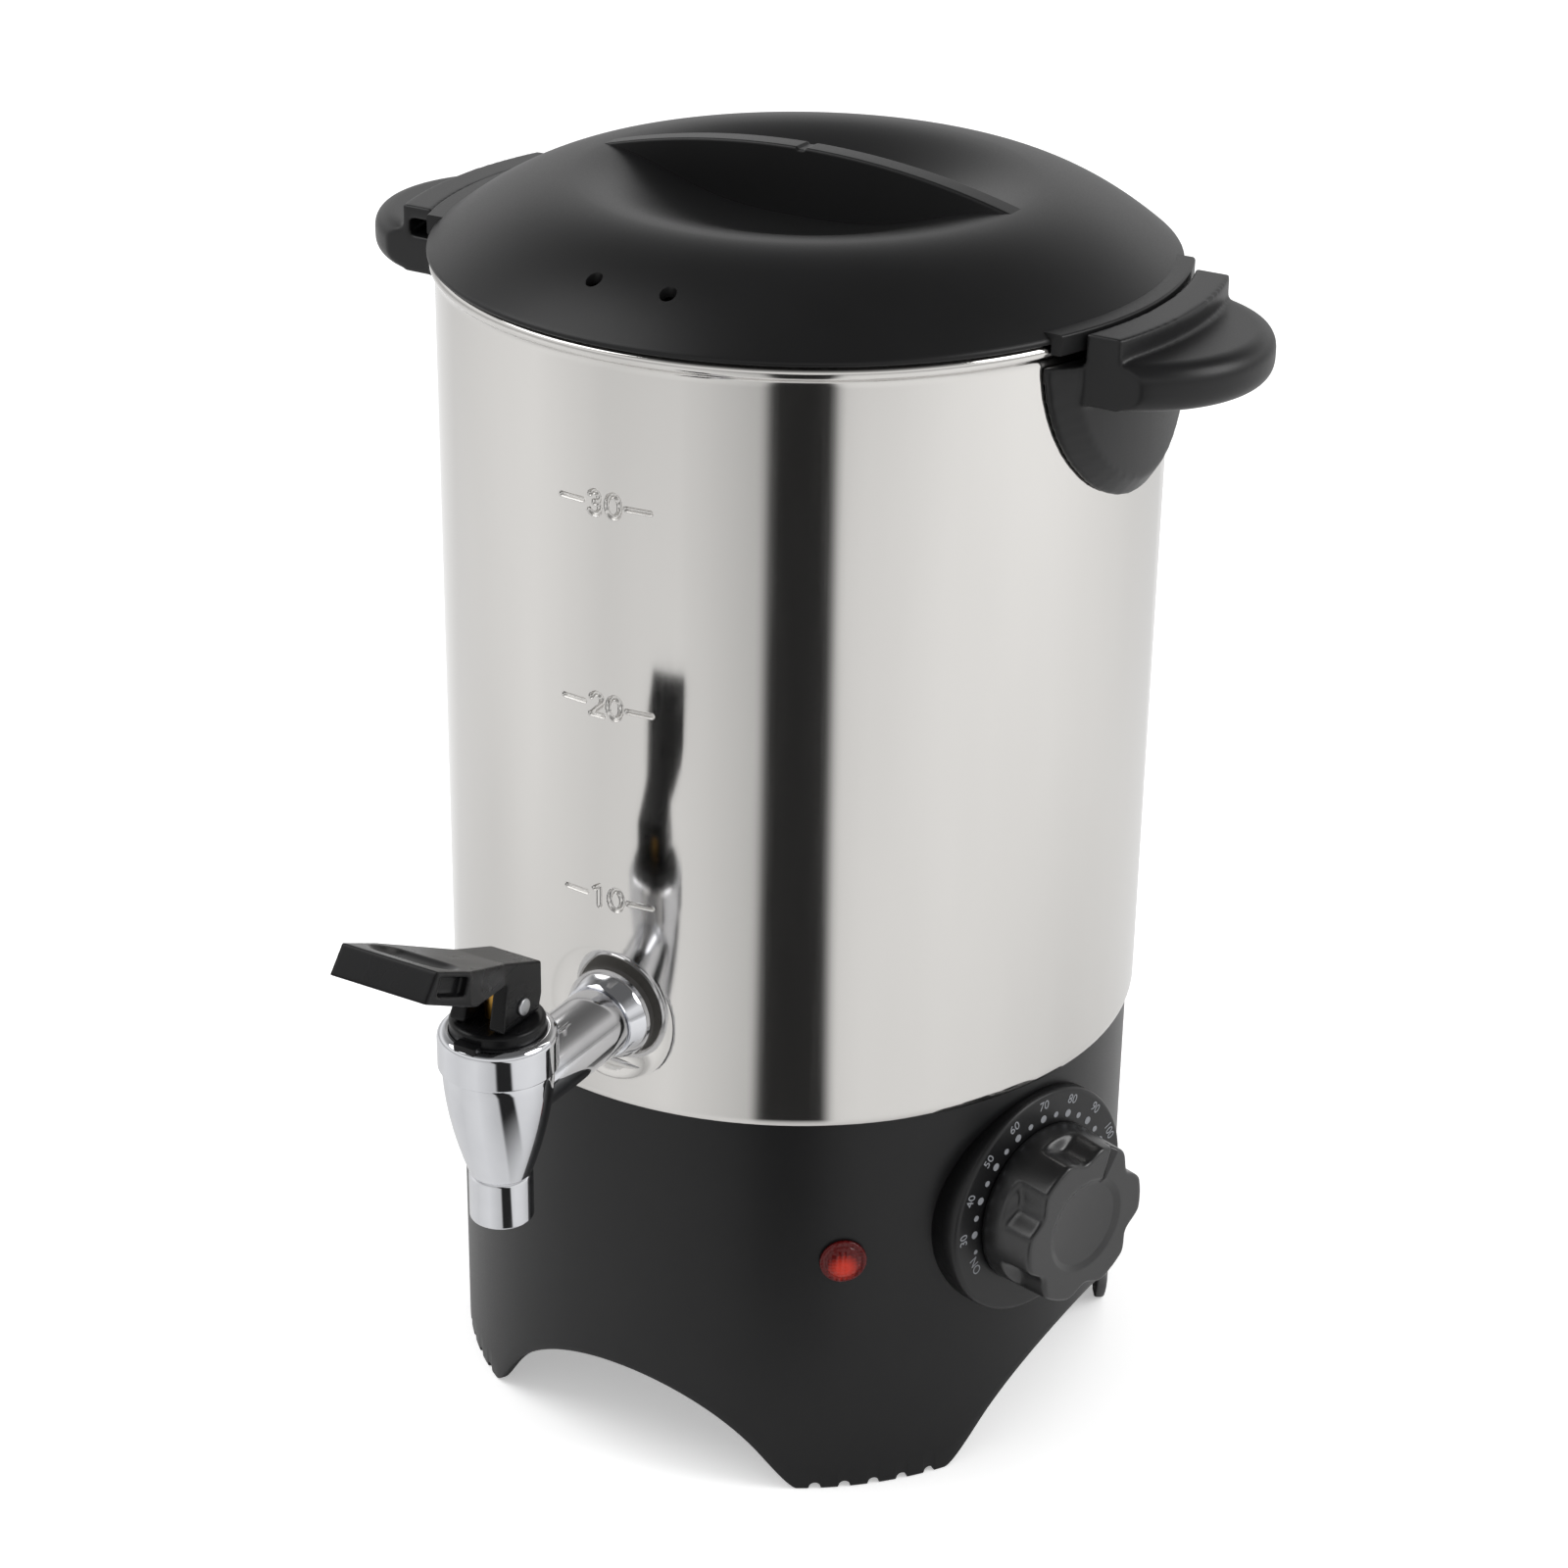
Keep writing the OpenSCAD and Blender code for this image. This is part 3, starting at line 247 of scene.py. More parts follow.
def red_acrylic():
    # Clear red acrylic with small pyramids moulded on its back: deep red, with a painted orange glow in the
    # base colour that the facets break up
    made, tree, shader = finish_of("clear_red_acrylic", Roughness=0.22, Specular_IOR_Level=0.3)
    pyramid_mm, painted_glow_low, painted_glow_in, painted_glow_out = 1.1, 1.5, 2.5, 6.0
    place = add(tree, "ShaderNodeTexCoord")
    facets = add(tree, "ShaderNodeTexVoronoi", [("Vector", place, "Object")],
                 Scale=1 / (pyramid_mm * MM), Randomness=0.12)
    relief(tree, shader, facets, depth_mm=0.4, strength=0.5)
    # The lamp behind the window is not lit: the orange spot a little below its middle is a painted glow in
    # the base colour
    a = math.radians(LAMP_AZ)
    painted_glow_at = [BASE_R * MM * math.sin(a), -BASE_R * MM * math.cos(a), (LAMP_Z - painted_glow_low) * MM]
    far = add(tree, "ShaderNodeVectorMath", [(0, place, "Object")], operation="DISTANCE")
    far.inputs[1].default_value = painted_glow_at
    # near is the painted glow's fall-off: 0 at its middle, 1 at its edge
    near = add(tree, "ShaderNodeMapRange", [("Value", far, "Value")],
               **{"From Min": painted_glow_in * MM, "From Max": painted_glow_out * MM})
    # The facets break up the painted glow into lighter and darker facets of base colour
    painted_glow_broken = add(tree, "ShaderNodeMath", [(0, facets, 0), (1, near, 0), (2, near, 0)],
                 operation="MULTIPLY_ADD")
    tint(tree, shader, painted_glow_broken, "#b82c1a", "#4c0505")
    return made


STEEL = stainless("polished_stainless_sheet", rough=0.1)
SATIN_STEEL = stainless("satin_stainless_sheet", rough=0.42)
BLACK = satin_abs("satin_black_abs", "#0f0f10", "#141415", rough=0.38, shine=0.37)
BLACK_BASE = satin_abs("deep_satin_black_abs", "#0d0d0e", "#121213", rough=0.35, shine=0.3)
BLACK_LID = satin_abs("dull_satin_black_abs", "#111111", "#161617", rough=0.36, shine=0.26)
KNOB_BLACK = satin_abs("semi_gloss_black_abs", "#0f0f10", "#141415", rough=0.3, shine=0.7)
PLAIN_BLACK = satin_abs("plain_black_nylon", "#202021", "#28282a", rough=0.55, shine=0.2)
GLOSS_BLACK = gloss_abs()
CHROME = bright_chrome()
BRASS = turned_metal("turned_brass", "#a9803c", "#c99c50", rough=0.3)
ZINC = turned_metal("zinc_plated_steel", "#a4a5a8", "#bfc0c2", rough=0.32)
ELEMENT = turned_metal("element_sheath_steel", "#4d4c4b", "#66635f", rough=0.45)
ALUMINIUM = turned_metal("cast_aluminium", "#b3b4b6", "#c8c9ca", rough=0.42)
COPPER = turned_metal("drawn_copper", "#a5603f", "#c47a55", rough=0.3)
CERAMIC = dull_moulding("cream_ceramic", "#d8d1c2", "#e4ddcf", rough=0.6)
RUBBER = dull_moulding("grey_rubber", "#454442", "#514f4d", rough=0.6)
SILICONE = dull_moulding("white_silicone", "#d5d4cf", "#e2e1dc", rough=0.55)
INK = dull_moulding("pale_grey_ink", "#808287", "#94969a", rough=0.6)
RED = red_acrylic()


def outward(az):
    """Turns a piece built with +Z as its axis so that it points away from the tank at this azimuth."""
    a = math.radians(az)
    out = Vector((math.sin(a), -math.cos(a), 0))
    across = Vector((math.cos(a), math.sin(a), 0))
    return Matrix((across, Vector((0, 0, 1)), out)).transposed().to_4x4()


def facing(az, z):
    """Place of such a piece at a height in millimetres."""
    return Matrix.Translation((0, 0, z * MM)) @ outward(az)


def polar(r, a, z):
    """The point at a radius, an azimuth in radians and a height."""
    return (r * math.sin(a), -r * math.cos(a), z)


def at_tap(points):
    """Points moved from the urn's axis to the axis of the tap's cup."""
    return [(x, y - TAP_REACH, z) for x, y, z in points]


def new_object(name, data):
    """A new object in the scene."""
    made = bpy.data.objects.new(name, data)
    bpy.context.scene.collection.objects.link(made)
    return made


def shown(obj):
    """The object's mesh with its modifiers applied. The object itself is removed."""
    bpy.context.view_layer.update()
    mesh = bpy.data.meshes.new_from_object(obj.evaluated_get(bpy.context.evaluated_depsgraph_get()))
    bpy.data.objects.remove(obj)
    return mesh


def raw_mesh(name, points, faces):
    """A mesh straight from points in millimetres."""
    mesh = bpy.data.meshes.new(name)
    mesh.from_pydata([Vector(p) * MM for p in points], [], faces)
    return mesh


def piece(name, points, faces, material, body="urn", stands_for=(), place=None):
    """A smooth mesh from points in millimetres, riding on a body and standing for CAD nodes."""
    mesh = raw_mesh(name, points, faces)
    if place is not None:
        mesh.transform(place)
    return dress(name, mesh, material, body, stands_for)


def dress(name, mesh, material, body="urn", stands_for=()):
    """Cleans a mesh, links it as an object and ties it to the frame."""
    made = bmesh.new()
    made.from_mesh(mesh)
    bmesh.ops.remove_doubles(made, verts=made.verts, dist=WELD)
    bmesh.ops.recalc_face_normals(made, faces=made.faces)
    for face in made.faces:
        face.smooth = True
    made.to_mesh(mesh)
    made.free()
    mesh.materials.clear()
    mesh.materials.append(material)
    obj = new_object(name, mesh)
    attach(obj, body)
    if stands_for:
        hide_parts(*stands_for)
    return obj


def arc(cx, cy, r, a0, a1, n):
    """Points of an arc in the plane, angles in degrees."""
    return [
        (cx + r * math.cos(math.radians(a)), cy + r * math.sin(math.radians(a)))
        for a in np.linspace(a0, a1, n)
    ]


def woven(rows, columns, close_rows, close_columns):
    """Quads between neighbouring rows and columns of a grid of points."""
    faces = []
    for i in range(rows if close_rows else rows - 1):
        for j in range(columns if close_columns else columns - 1):
            a, b = i * columns + j, i * columns + (j + 1) % columns
            c, d = ((i + 1) % rows) * columns + (j + 1) % columns, ((i + 1) % rows) * columns + j
            faces.append((a, b, c, d))
    return faces


def capped(rows, columns):
    """Quads round a tube of points, and the two faces that close its ends."""
    last = rows * columns - 1
    ends = [tuple(range(columns)), tuple(range(last, last - columns, -1))]
    return woven(rows, columns, False, True) + ends


def turned(profile, sides, closed=False):
    """Points and faces of a profile of (radius, height) turned about +Z."""
    angles = np.linspace(0, 2 * math.pi, sides, endpoint=False)
    points = [(r * math.cos(a), r * math.sin(a), z) for r, z in profile for a in angles]
    return points, woven(len(profile), sides, closed, True)


def both(*parts):
    """Joins several (points, faces) into one."""
    points, faces = [], []
    for more, shapes in parts:
        start = len(points)
        points += list(more)
        faces += [tuple(i + start for i in f) for f in shapes]
    return points, faces


def smooth_step(x, low, high):
    """0 below low, 1 above high, with a soft rise between."""
    t = np.clip((x - low) / (high - low), 0, 1)
    return t * t * (3 - 2 * t)


# Level marks: strokes of each numeral on a cell five wide and seven high, centred at its middle
STROKES = {
    "0": [[(2.0 * math.cos(a), 3.0 * math.sin(a)) for a in np.linspace(0, 2 * math.pi, 25)]],
    "1": [[(-1.3, 1.9), (0.3, 3.0), (0.3, -3.0)]],
    "2": [arc(0, 1.2, 1.8, 160, -35, 12) + [(-1.9, -3.0), (2.0, -3.0)]],
    "3": [arc(-0.1, 1.5, 1.5, 150, -90, 12), arc(-0.1, -1.4, 1.7, 90, -150, 12)],
}
MARKS = {183.0: "10", 239.0: "20", 295.0: "30"}
# The pressed groove of a mark: half of its flat bottom, the width of each side, and its depth
MARK_STROKE = 0.3
MARK_SLOPE = 0.45
MARK_DEPTH = 0.85
# The layout of a mark: half its height, where its dashes start and end, and the step between numerals
MARK_HALF = 4.2
DASH_IN = 6.6
DASH_OUT = 13.4
DIGIT_STEP = 5.6


def mark_strokes(text):
    """Strokes of one level mark: two dashes with the numerals between them."""
    strokes = [[(-DASH_OUT, 0), (-DASH_IN, 0)], [(DASH_IN, 0), (DASH_OUT, 0)]]
    for k, digit in enumerate(text):
        shift = (k - (len(text) - 1) / 2) * DIGIT_STEP
        strokes += [[(x + shift, y) for x, y in line] for line in STROKES[digit]]
    return strokes


def stroke_distance(u, v, strokes):
    """Distance from each point to the nearest stroke."""
    best = np.full(u.shape, 1e9)
    for line in strokes:
        for (ax, ay), (bx, by) in zip(line[:-1], line[1:]):
            dx, dy = bx - ax, by - ay
            t = np.clip(((u - ax) * dx + (v - ay) * dy) / max(dx * dx + dy * dy, 1e-9), 0, 1)
            best = np.minimum(best, np.hypot(u - ax - t * dx, v - ay - t * dy))
    return best


def tank_press(az, z):
    """How far the pressed wall departs from its plain radius: the tap's seat and the level marks."""
    front_cos, least_cos, far_off, mark_reach = 0.9, 0.5, 1e3, 6
    a, h = np.meshgrid(np.radians(az), z)
    near = np.cos(a) > front_cos
    across = TANK_R * np.sin(a)
    d = np.where(near, np.hypot(across, h - TAP_Z), far_off)
    flat = SEAT_FACE / np.maximum(np.cos(a), least_cos) - TANK_R
    # The press leaves a flat for the washer and a cone round it with crisp edges
    cone = np.clip((d - SEAT_R + CONE_START) / CONE_WIDTH, 0, 1)
    seat = flat * (1 - CONE_STRAIGHT * cone - (1 - CONE_STRAIGHT) * smooth_step(cone, 0, 1))
    marks = np.zeros_like(seat)
    for level, text in MARKS.items():
        band = near & (np.abs(h - level) < mark_reach)
        gap = stroke_distance(across[band], h[band] - level, mark_strokes(text))
        marks[band] = -MARK_DEPTH * np.clip(1 - (gap - MARK_STROKE) / MARK_SLOPE, 0, 1)
    return seat, marks


def spaced(*spans):
    """Sorted values from (low, high, step) spans, without repeats."""
    values = sorted({round(float(x), 4) for low, high, step in spans
                     for x in np.linspace(low, high, max(2, int(round((high - low) / step)) + 1))})
    kept = values[:1]
    for x in values[1:]:
        if x - kept[-1] > 1e-3:
            kept.append(x)
    return kept


def build_tank():
    """Steel wall with rolled rim, pressed tap seat and level marks, and the floor."""
    mark_az, seat_az, seat_top, neck, bead_foot = 8.4, 13.0, 170.0, 330.0, 332.4
    lip, lip_top, corner, curl_in, curl_up = EDGE_Z + 0.3, EDGE_Z + 3, 4.0, 0.6, 2.4
    az = spaced((-mark_az, mark_az, 0.15), (-seat_az, -mark_az, 0.4), (mark_az, seat_az, 0.4),
                (seat_az, 360 - seat_az, 2.5))[:-1]
    high = spaced((lip, lip_top, 0.3), (lip_top, seat_top, 0.5), (seat_top, neck, 5), (neck, bead_foot, 1),
                  *[(m - MARK_HALF, m + MARK_HALF, 0.2) for m in MARKS])
    low = spaced((FLOOR_Z + SHEET + corner, seat_top, 1.2), (seat_top, bead_foot, 12))[::-1]
    inner, floor_top = TANK_R - SHEET, FLOOR_Z + SHEET
    bead = arc(TANK_R - SHEET / 2, RIM_Z - RIM_R, RIM_R, -62, 242, 22)
    rings = (80, 50, 20, AXIS_R)
    inside = arc(inner - corner, floor_top + corner, corner, 0, -90, 7) + [(r, floor_top) for r in rings]
    under = [(r, FLOOR_Z) for r in reversed(rings)] + [(inner, FLOOR_Z), (inner, lip)]
    edge = [(inner + 0.2, EDGE_Z), (TANK_R - 0.65, EDGE_Z), (TANK_R - 0.56, EDGE_Z + 0.1)]
    seat_out, marks = tank_press(az, high)
    seat_in, _ = tank_press(az, low)
    # The last millimetres above the base curl in a little
    curl = [curl_in * max(0.0, (EDGE_Z + curl_up - z) / curl_up) ** 2 for z in high]
    rows = [(TANK_R + seat + mark - bend, z) for seat, mark, bend, z in zip(seat_out, marks, curl, high)]
    rows += [(np.full(len(az), r), z) for r, z in bead]
    rows += [(inner + seat, z) for seat, z in zip(seat_in, low)]
    rows += [(np.full(len(az), r), z) for r, z in inside + under + edge]
    points = [polar(r, a, z) for row, z in rows for r, a in zip(row, np.radians(az))]
    faces = woven(len(rows), len(az), True, True)
    tank = piece("tank_wall", points, faces, STEEL, stands_for=["tank"])
    # The inside keeps the rolling mill's satin, and so do the sides of pressed parts that face upwards
    tank.data.materials.append(SATIN_STEEL)
    for face in tank.data.polygons:
        middle, way = face.center, face.normal
        inward = way.x * middle.x + way.y * middle.y < 0 or way.z > 0.5
        if inward and FLOOR_Z < middle.z / MM < RIM_Z - 5:
            face.material_index = 1


def arch_height(az):
    """Height of the base's lower edge: arches on the four sides, notches under the feet."""
    arch_r = (ARCH_W ** 2 / 4 + ARCH_H ** 2) / (2 * ARCH_H)
    side = (az + 45) % 90 - 45
    x = BASE_R * math.sin(math.radians(side))
    lift = ARCH_H - arch_r + math.sqrt(max(0.0, arch_r ** 2 - x * x))
    lift = max(0.0, lift) + max(0.0, TOE_ROUND - abs(lift)) ** 2 / (4 * TOE_ROUND)
    foot = az % 90 - 45
    for k in range(NOTCH_N):
        s = BASE_R * math.radians(foot - (k - (NOTCH_N - 1) / 2) * NOTCH_STEP)
        if abs(s) < NOTCH_R:
            lift = max(lift, math.sqrt(NOTCH_R ** 2 - s * s))
    return lift


def build_base():
    """Black base: round wall with arches and notched feet, soft lower edges and a window for the inlet."""
    split, soft, bevel, toe_at, toe_half = 45.0, 0.7, 0.5, 15.1, 3
    middle_notch, half_notch = (NOTCH_N - 1) / 2, math.degrees(NOTCH_R / BASE_R)
    notches = [foot + (k - middle_notch) * NOTCH_STEP for foot in FEET_AZ for k in range(NOTCH_N)]
    window = math.degrees(math.asin(INLET_W / 2 / BASE_R))
    toes = [foot + side * toe_at for foot in FEET_AZ for side in (-1, 1)]
    az = spaced((0, 360, 1.25), (180 - window, 180 + window, 2),
                *[(n - half_notch, n + half_notch, half_notch / 6) for n in notches],
                *[(t - toe_half, t + toe_half, 0.3) for t in toes])[:-1]
    tall = spaced((split, FLOOR_Z - 0.6, 8), (INLET_Z - INLET_H / 2, INLET_Z + INLET_H / 2, 10))
    inner = BASE_R - BASE_WALL
    columns = []
    for a in az:
        foot = arch_height(a)
        steps = [foot + (split - foot) * t for t in (0.15, 0.3, 0.5, 0.75)]
        lower = [(BASE_R, z) for z in reversed(steps)] + [(BASE_R, foot + soft)]
        lower += [(BASE_R - soft + x, foot + soft + y) for x, y in arc(0, 0, soft, -30, -90, 3)]
        lower += [(inner + soft - x, foot + soft + y) for x, y in arc(0, 0, soft, -90, 0, 4)]
        lower += [(inner, z) for z in steps]
        upper = [(inner, z) for z in tall] + [(inner + bevel, FLOOR_Z), (BASE_R - bevel, FLOOR_Z)]
        columns.append(lower + upper + [(BASE_R, z) for z in reversed(tall)])
    rows, n = len(columns[0]), len(az)
    points = []
    for i in range(rows):
        points += [polar(column[i][0], math.radians(a), column[i][1]) for a, column in zip(az, columns)]

    def in_window(i, j):
        """Whether a quad lies in the inlet's window."""
        mid_az = (az[j] + az[(j + 1) % n]) / 2 if j + 1 < n else az[j] + 0.5
        radii = {columns[j][i][0], columns[j][(i + 1) % rows][0]}
        mid_z = (columns[j][i][1] + columns[j][(i + 1) % rows][1]) / 2
        return abs(mid_az - 180) < window and abs(mid_z - INLET_Z) < INLET_H / 2 and len(radii) == 1

    quads = enumerate(woven(rows, n, True, True))
    made = raw_mesh("base_wall", points, [quad for k, quad in quads if not in_window(*divmod(k, n))])
    shell = bmesh.new()
    shell.from_mesh(made)
    rims = [e for e in shell.edges if e.is_boundary]
    bmesh.ops.bridge_loops(shell, edges=rims)
    shell.to_mesh(made)
    shell.free()
    dress("base_wall", made, BLACK_BASE, stands_for=["base_shell"])


def bowl_height(r):
    """Height of the bowl above the rim, from its middle to the crest."""
    return BOWL_UP + (CREST_UP - BOWL_UP) * (1 - math.cos(math.pi * (r / CREST_R) ** BOWL_POWER)) / 2


def dome_height(share, thick=0.0):
    """Height of the dome above the rim, from the crest at 0 to the edge at 1."""
    return EDGE_UP + (CREST_UP - thick - EDGE_UP) * (1 - share ** DOME_POWER)


def lid_height(r):
    """Height of the lid's top above the rim."""
    return bowl_height(r) if r < CREST_R else dome_height((r - CREST_R) / (LID_R - CREST_R))


def lid_bowl():
    """The lid without grip, lugs and vents: bowl, dome, edge and the plug below."""
    edge_z, edge_soft, plug_low, plug_soft = RIM_Z + LID_GAP, 0.4, RIM_Z - PLUG_DEEP, 0.8
    over_w, under_w = LID_R - CREST_R, LID_R - LID_T - CREST_R
    top = [(max(r, AXIS_R), RIM_Z + bowl_height(r)) for r in np.linspace(0, CREST_R, 25)]
    dome = [(CREST_R + over_w * t, RIM_Z + dome_height(t)) for t in np.linspace(0.04, 0.98, 24)]
    edge = [(LID_R - 0.35, edge_z + 1.45), (LID_R - 0.1, edge_z + 1.1), (LID_R, edge_z + 0.7)]
    edge += arc(LID_R - edge_soft, edge_z + edge_soft, edge_soft, 0, -90, 4)
    plug = [(PLUG_OUT + 0.3, edge_z), (PLUG_OUT, edge_z - 0.3)]
    plug += arc(PLUG_OUT - plug_soft, plug_low + plug_soft, plug_soft, 0, -90, 4)
    plug += arc(PLUG_IN + plug_soft, plug_low + plug_soft, plug_soft, -90, -180, 4) + [(PLUG_IN, RIM_Z + 2)]
    under = [(CREST_R + under_w * t, RIM_Z + dome_height(t, LID_T))
             for t in np.linspace((PLUG_IN - CREST_R) / under_w, 0.05, 14)]
    floor = [(max(r, AXIS_R), RIM_Z + bowl_height(r) - LID_T) for r in np.linspace(CREST_R, 0, 20)]
    return turned(top + dome + edge + plug + under + floor, 192)


def lid_grip():
    """Straight grip across the bowl, with a small notch that marks its middle."""
    half, draft, round_r, sunk, root_share, least = GRIP_T / 2, 0.35, 0.8, 0.6, 0.6, 1.2
    notch, notch_in, notch_out = 0.6, 0.8, 1.7
    stations = sorted(set(np.linspace(-1, 1, 61)) | set(np.linspace(-0.032, 0.032, 17)))
    rise = GRIP_UP - CREST_UP + sunk
    arc_r = (GRIP_HALF ** 2 + rise ** 2) / (2 * rise)
    points = []
    for s in stations:
        x = GRIP_HALF * s
        crown = RIM_Z + GRIP_UP - (arc_r - math.sqrt(arc_r ** 2 - x * x))
        root = RIM_Z + lid_height(abs(x)) - LID_T * root_share
        dip = notch * (1 - float(smooth_step(abs(x), notch_in, notch_out)))
        crown = max(crown - dip, root + least)
        soft = min(round_r, (crown - root) / 2)
        side = [(half + draft, root), (half, crown - soft)]
        side += [(half - soft + px, crown - soft + py) for px, py in arc(0, 0, soft, 20, 90, 5)]
        section = side + [(-y, z) for y, z in reversed(side)]
        points += [(x, y, z) for y, z in section]
    return points, capped(len(stations), len(section))


def lid_lug(side):
    """A lug at the lid's edge beside one handle, with a skirt outside the rim."""
    root, steps = 96.0, 31
    low, high, skirt = RIM_Z + LID_GAP, RIM_Z + 3.3, RIM_Z - SKIRT_DROP
    section = [(root, low), (SKIRT_IN, low), (SKIRT_IN, skirt), (LUG_R - 0.4, skirt), (LUG_R, skirt + 0.4),
               (LUG_R, high - 0.7), (LUG_R - 0.25, high - 0.2), (LUG_R - 0.7, high), (root, high)]
    points = []
    for share in np.linspace(-1, 1, steps):
        for r, z in section:
            points.append(polar(r, side * math.pi / 2 + share * math.asin(LUG_HALF / r), z))
    return points, capped(steps, len(section))


def lid_vent(az):
    """The volume of one steam vent, a little wider towards the top."""
    a = math.radians(az)
    low, throat, high, flare = RIM_Z - 1, RIM_Z + 12.5, RIM_Z + 20, 0.5
    profile = [(AXIS_R, low), (VENT_R, low), (VENT_R, throat), (VENT_R + flare, high), (AXIS_R, high)]
    points, faces = turned(profile, 40)
    return [(x + VENT_AT * math.sin(a), y - VENT_AT * math.cos(a), z) for x, y, z in points], faces


def build_lid():
    """Domed lid with a bowl, a grip across it, vents, lugs at the edge and a plug below."""
    vents = both(*[lid_vent(az) for az in VENT_AZ])
    mesh = cut(solid_mesh(*lid_bowl()), solid_mesh(*vents))
    extra = solid_mesh(*both(lid_grip(), lid_lug(-1), lid_lug(1)))
    joined = bmesh.new()
    joined.from_mesh(mesh)
    joined.from_mesh(extra)
    joined.to_mesh(mesh)
    joined.free()
    lid = dress("lid_cover", mesh, BLACK_LID, body="lid", stands_for=["lid_shell"])
    sharpen(lid, degrees=48)


def solid_mesh(points, faces):
    """A closed mesh from points in millimetres, to cut or to join."""
    mesh = raw_mesh("work", points, faces)
    made = bmesh.new()
    made.from_mesh(mesh)
    bmesh.ops.remove_doubles(made, verts=made.verts, dist=WELD)
    bmesh.ops.holes_fill(made, edges=[e for e in made.edges if e.is_boundary])
    bmesh.ops.recalc_face_normals(made, faces=made.faces)
    made.to_mesh(mesh)
    made.free()
    return mesh


def cut(mesh, tool):
    """The mesh with the tool's volume taken away."""
    target, knife = new_object("target", mesh), new_object("knife", tool)
    step = target.modifiers.new("cut", "BOOLEAN")
    step.operation = "DIFFERENCE"
    step.object = knife
    done = shown(target)
    bpy.data.objects.remove(knife)
    return done


def build_tap():
    """Chromed tap: hollow cup with collar and spout, and the shank into the tank."""
    collar, barrel, bore, spout, waist, chamber, outlet = 15.75, 14.65, 12.05, 8.5, 8.2, 9.0, 5.0
    collar_low, barrel_low, tip = CUP_Z - 10, CUP_Z - 42.0, CUP_Z - 55.5
    lip, soft, belly = 2.3, 0.6, 1.8
    outer = [(collar - 3.1, CUP_Z + 0.6), (collar - 2.9, CUP_Z + 0.9)]
    outer += arc(collar - lip, CUP_Z - 1.3, lip, 90, 0, 9)
    outer += arc(collar - soft, CUP_Z - 9.4, soft, 0, -70, 4)
    outer += [(barrel + 0.1, CUP_Z - 10.05), (barrel - 0.15, CUP_Z - 10.4)]
    for t in np.linspace(0.03, 0.985, 26):
        outer.append((barrel - (barrel - waist) * t ** belly, collar_low - 32 * t))
    outer += [(waist + 0.03, barrel_low + 0.2), (waist + 0.12, barrel_low - 0.05)]
    outer += [(spout - 0.05, barrel_low - 0.4), (spout, barrel_low - 0.7), (spout, tip + soft)]
    outer += arc(spout - soft, tip + soft, soft, -20, -90, 4)
    inner = arc(outlet + 0.5, tip + 0.5, 0.5, -90, -180, 4)
    inner += [(outlet, CUP_Z - 36.5), (chamber, CUP_Z - 32.5), (chamber, BONNET_FOOT), (bore, BONNET_FOOT)]
    inner += [(bore, CUP_Z - 0.1), (collar - 3.1, CUP_Z)]
    cup, cup_faces = turned(outer + inner, 128, closed=True)
    shank_r, hole_r, neck_r, bevel, neck_soft = 8.5, 5.0, 10.0, 0.4, 0.9
    start, shoulder, end = 83.5, 105.05, TAP_REACH - 9.5
    profile = [(hole_r, start), (shank_r - bevel, start), (shank_r, start + bevel), (shank_r, shoulder)]
    profile += [(neck_r - neck_soft, shoulder)]
    profile += arc(neck_r - neck_soft, shoulder + neck_soft, neck_soft, -60, 0, 5)
    profile += [(neck_r, shoulder + 2), (neck_r, end), (hole_r, end)]
    tube, tube_faces = turned(profile, 96, closed=True)
    turn = outward(0)
    shank = [tuple(turn @ Vector(p) + Vector((0, 0, TAP_Z))) for p in tube]
    points, faces = both((at_tap(cup), cup_faces), (shank, tube_faces))
    tap = piece("tap_cup", points, faces, CHROME, stands_for=["tap_body"])
    sharpen(tap, degrees=38)


def build_flange():
    """Bevelled chrome ring at the tank."""
    back, reach, hole, rim = 98.5, 6.5, 8.55, 12.7
    profile = [(hole, back), (rim - 0.4, back), (rim, back + 0.3), (rim, back + 1.7)]
    profile += [(rim - 2.0 * t, back + 2.0 + 4.3 * t) for t in np.linspace(0, 1, 6)]
    profile += [(10.5, back + reach), (hole, back + reach)]
    points, faces = turned(profile, 128, closed=True)
    ring = piece("tap_ring", points, faces, CHROME, stands_for=["tap_flange"],
                 place=facing(0, TAP_Z))
    sharpen(ring, degrees=25)


def build_bonnet():
    """Black top of the cup with a rounded edge and a small front tab."""
    plug, cap, top, hole, soft, tab_t = 12.0, 12.6, CUP_Z + 4.4, 3.25, 1.2, 2
    profile = [(hole, BONNET_FOOT), (plug, BONNET_FOOT), (plug, CUP_Z), (cap, CUP_Z + 0.02)]
    profile += [(cap, top - soft)] + arc(cap - soft, top - soft, soft, 15, 90, 6) + [(6, top), (hole, top)]
    outline = [(-3.5, -10), (-3.5, -14.6), (-2.9, -15.1), (2.9, -15.1), (3.5, -14.6), (3.5, -10)]
    tab = [(x, y, z) for z in (CUP_Z, CUP_Z + tab_t) for x, y in outline]
    points, faces = both(turned(profile, 96, closed=True), (tab, capped(2, len(outline))))
    bonnet = piece("tap_top", at_tap(points), faces, GLOSS_BLACK,
                   stands_for=["tap_bonnet"])
    sharpen(bonnet, degrees=50)


def sharpen(obj, degrees):
    """Marks edges above this angle as sharp and evens the shading, so that flat faces stay flat."""
    obj.data.set_sharp_from_angle(angle=math.radians(degrees))
    even = obj.modifiers.new("even", "WEIGHTED_NORMAL")
    even.keep_sharp = True


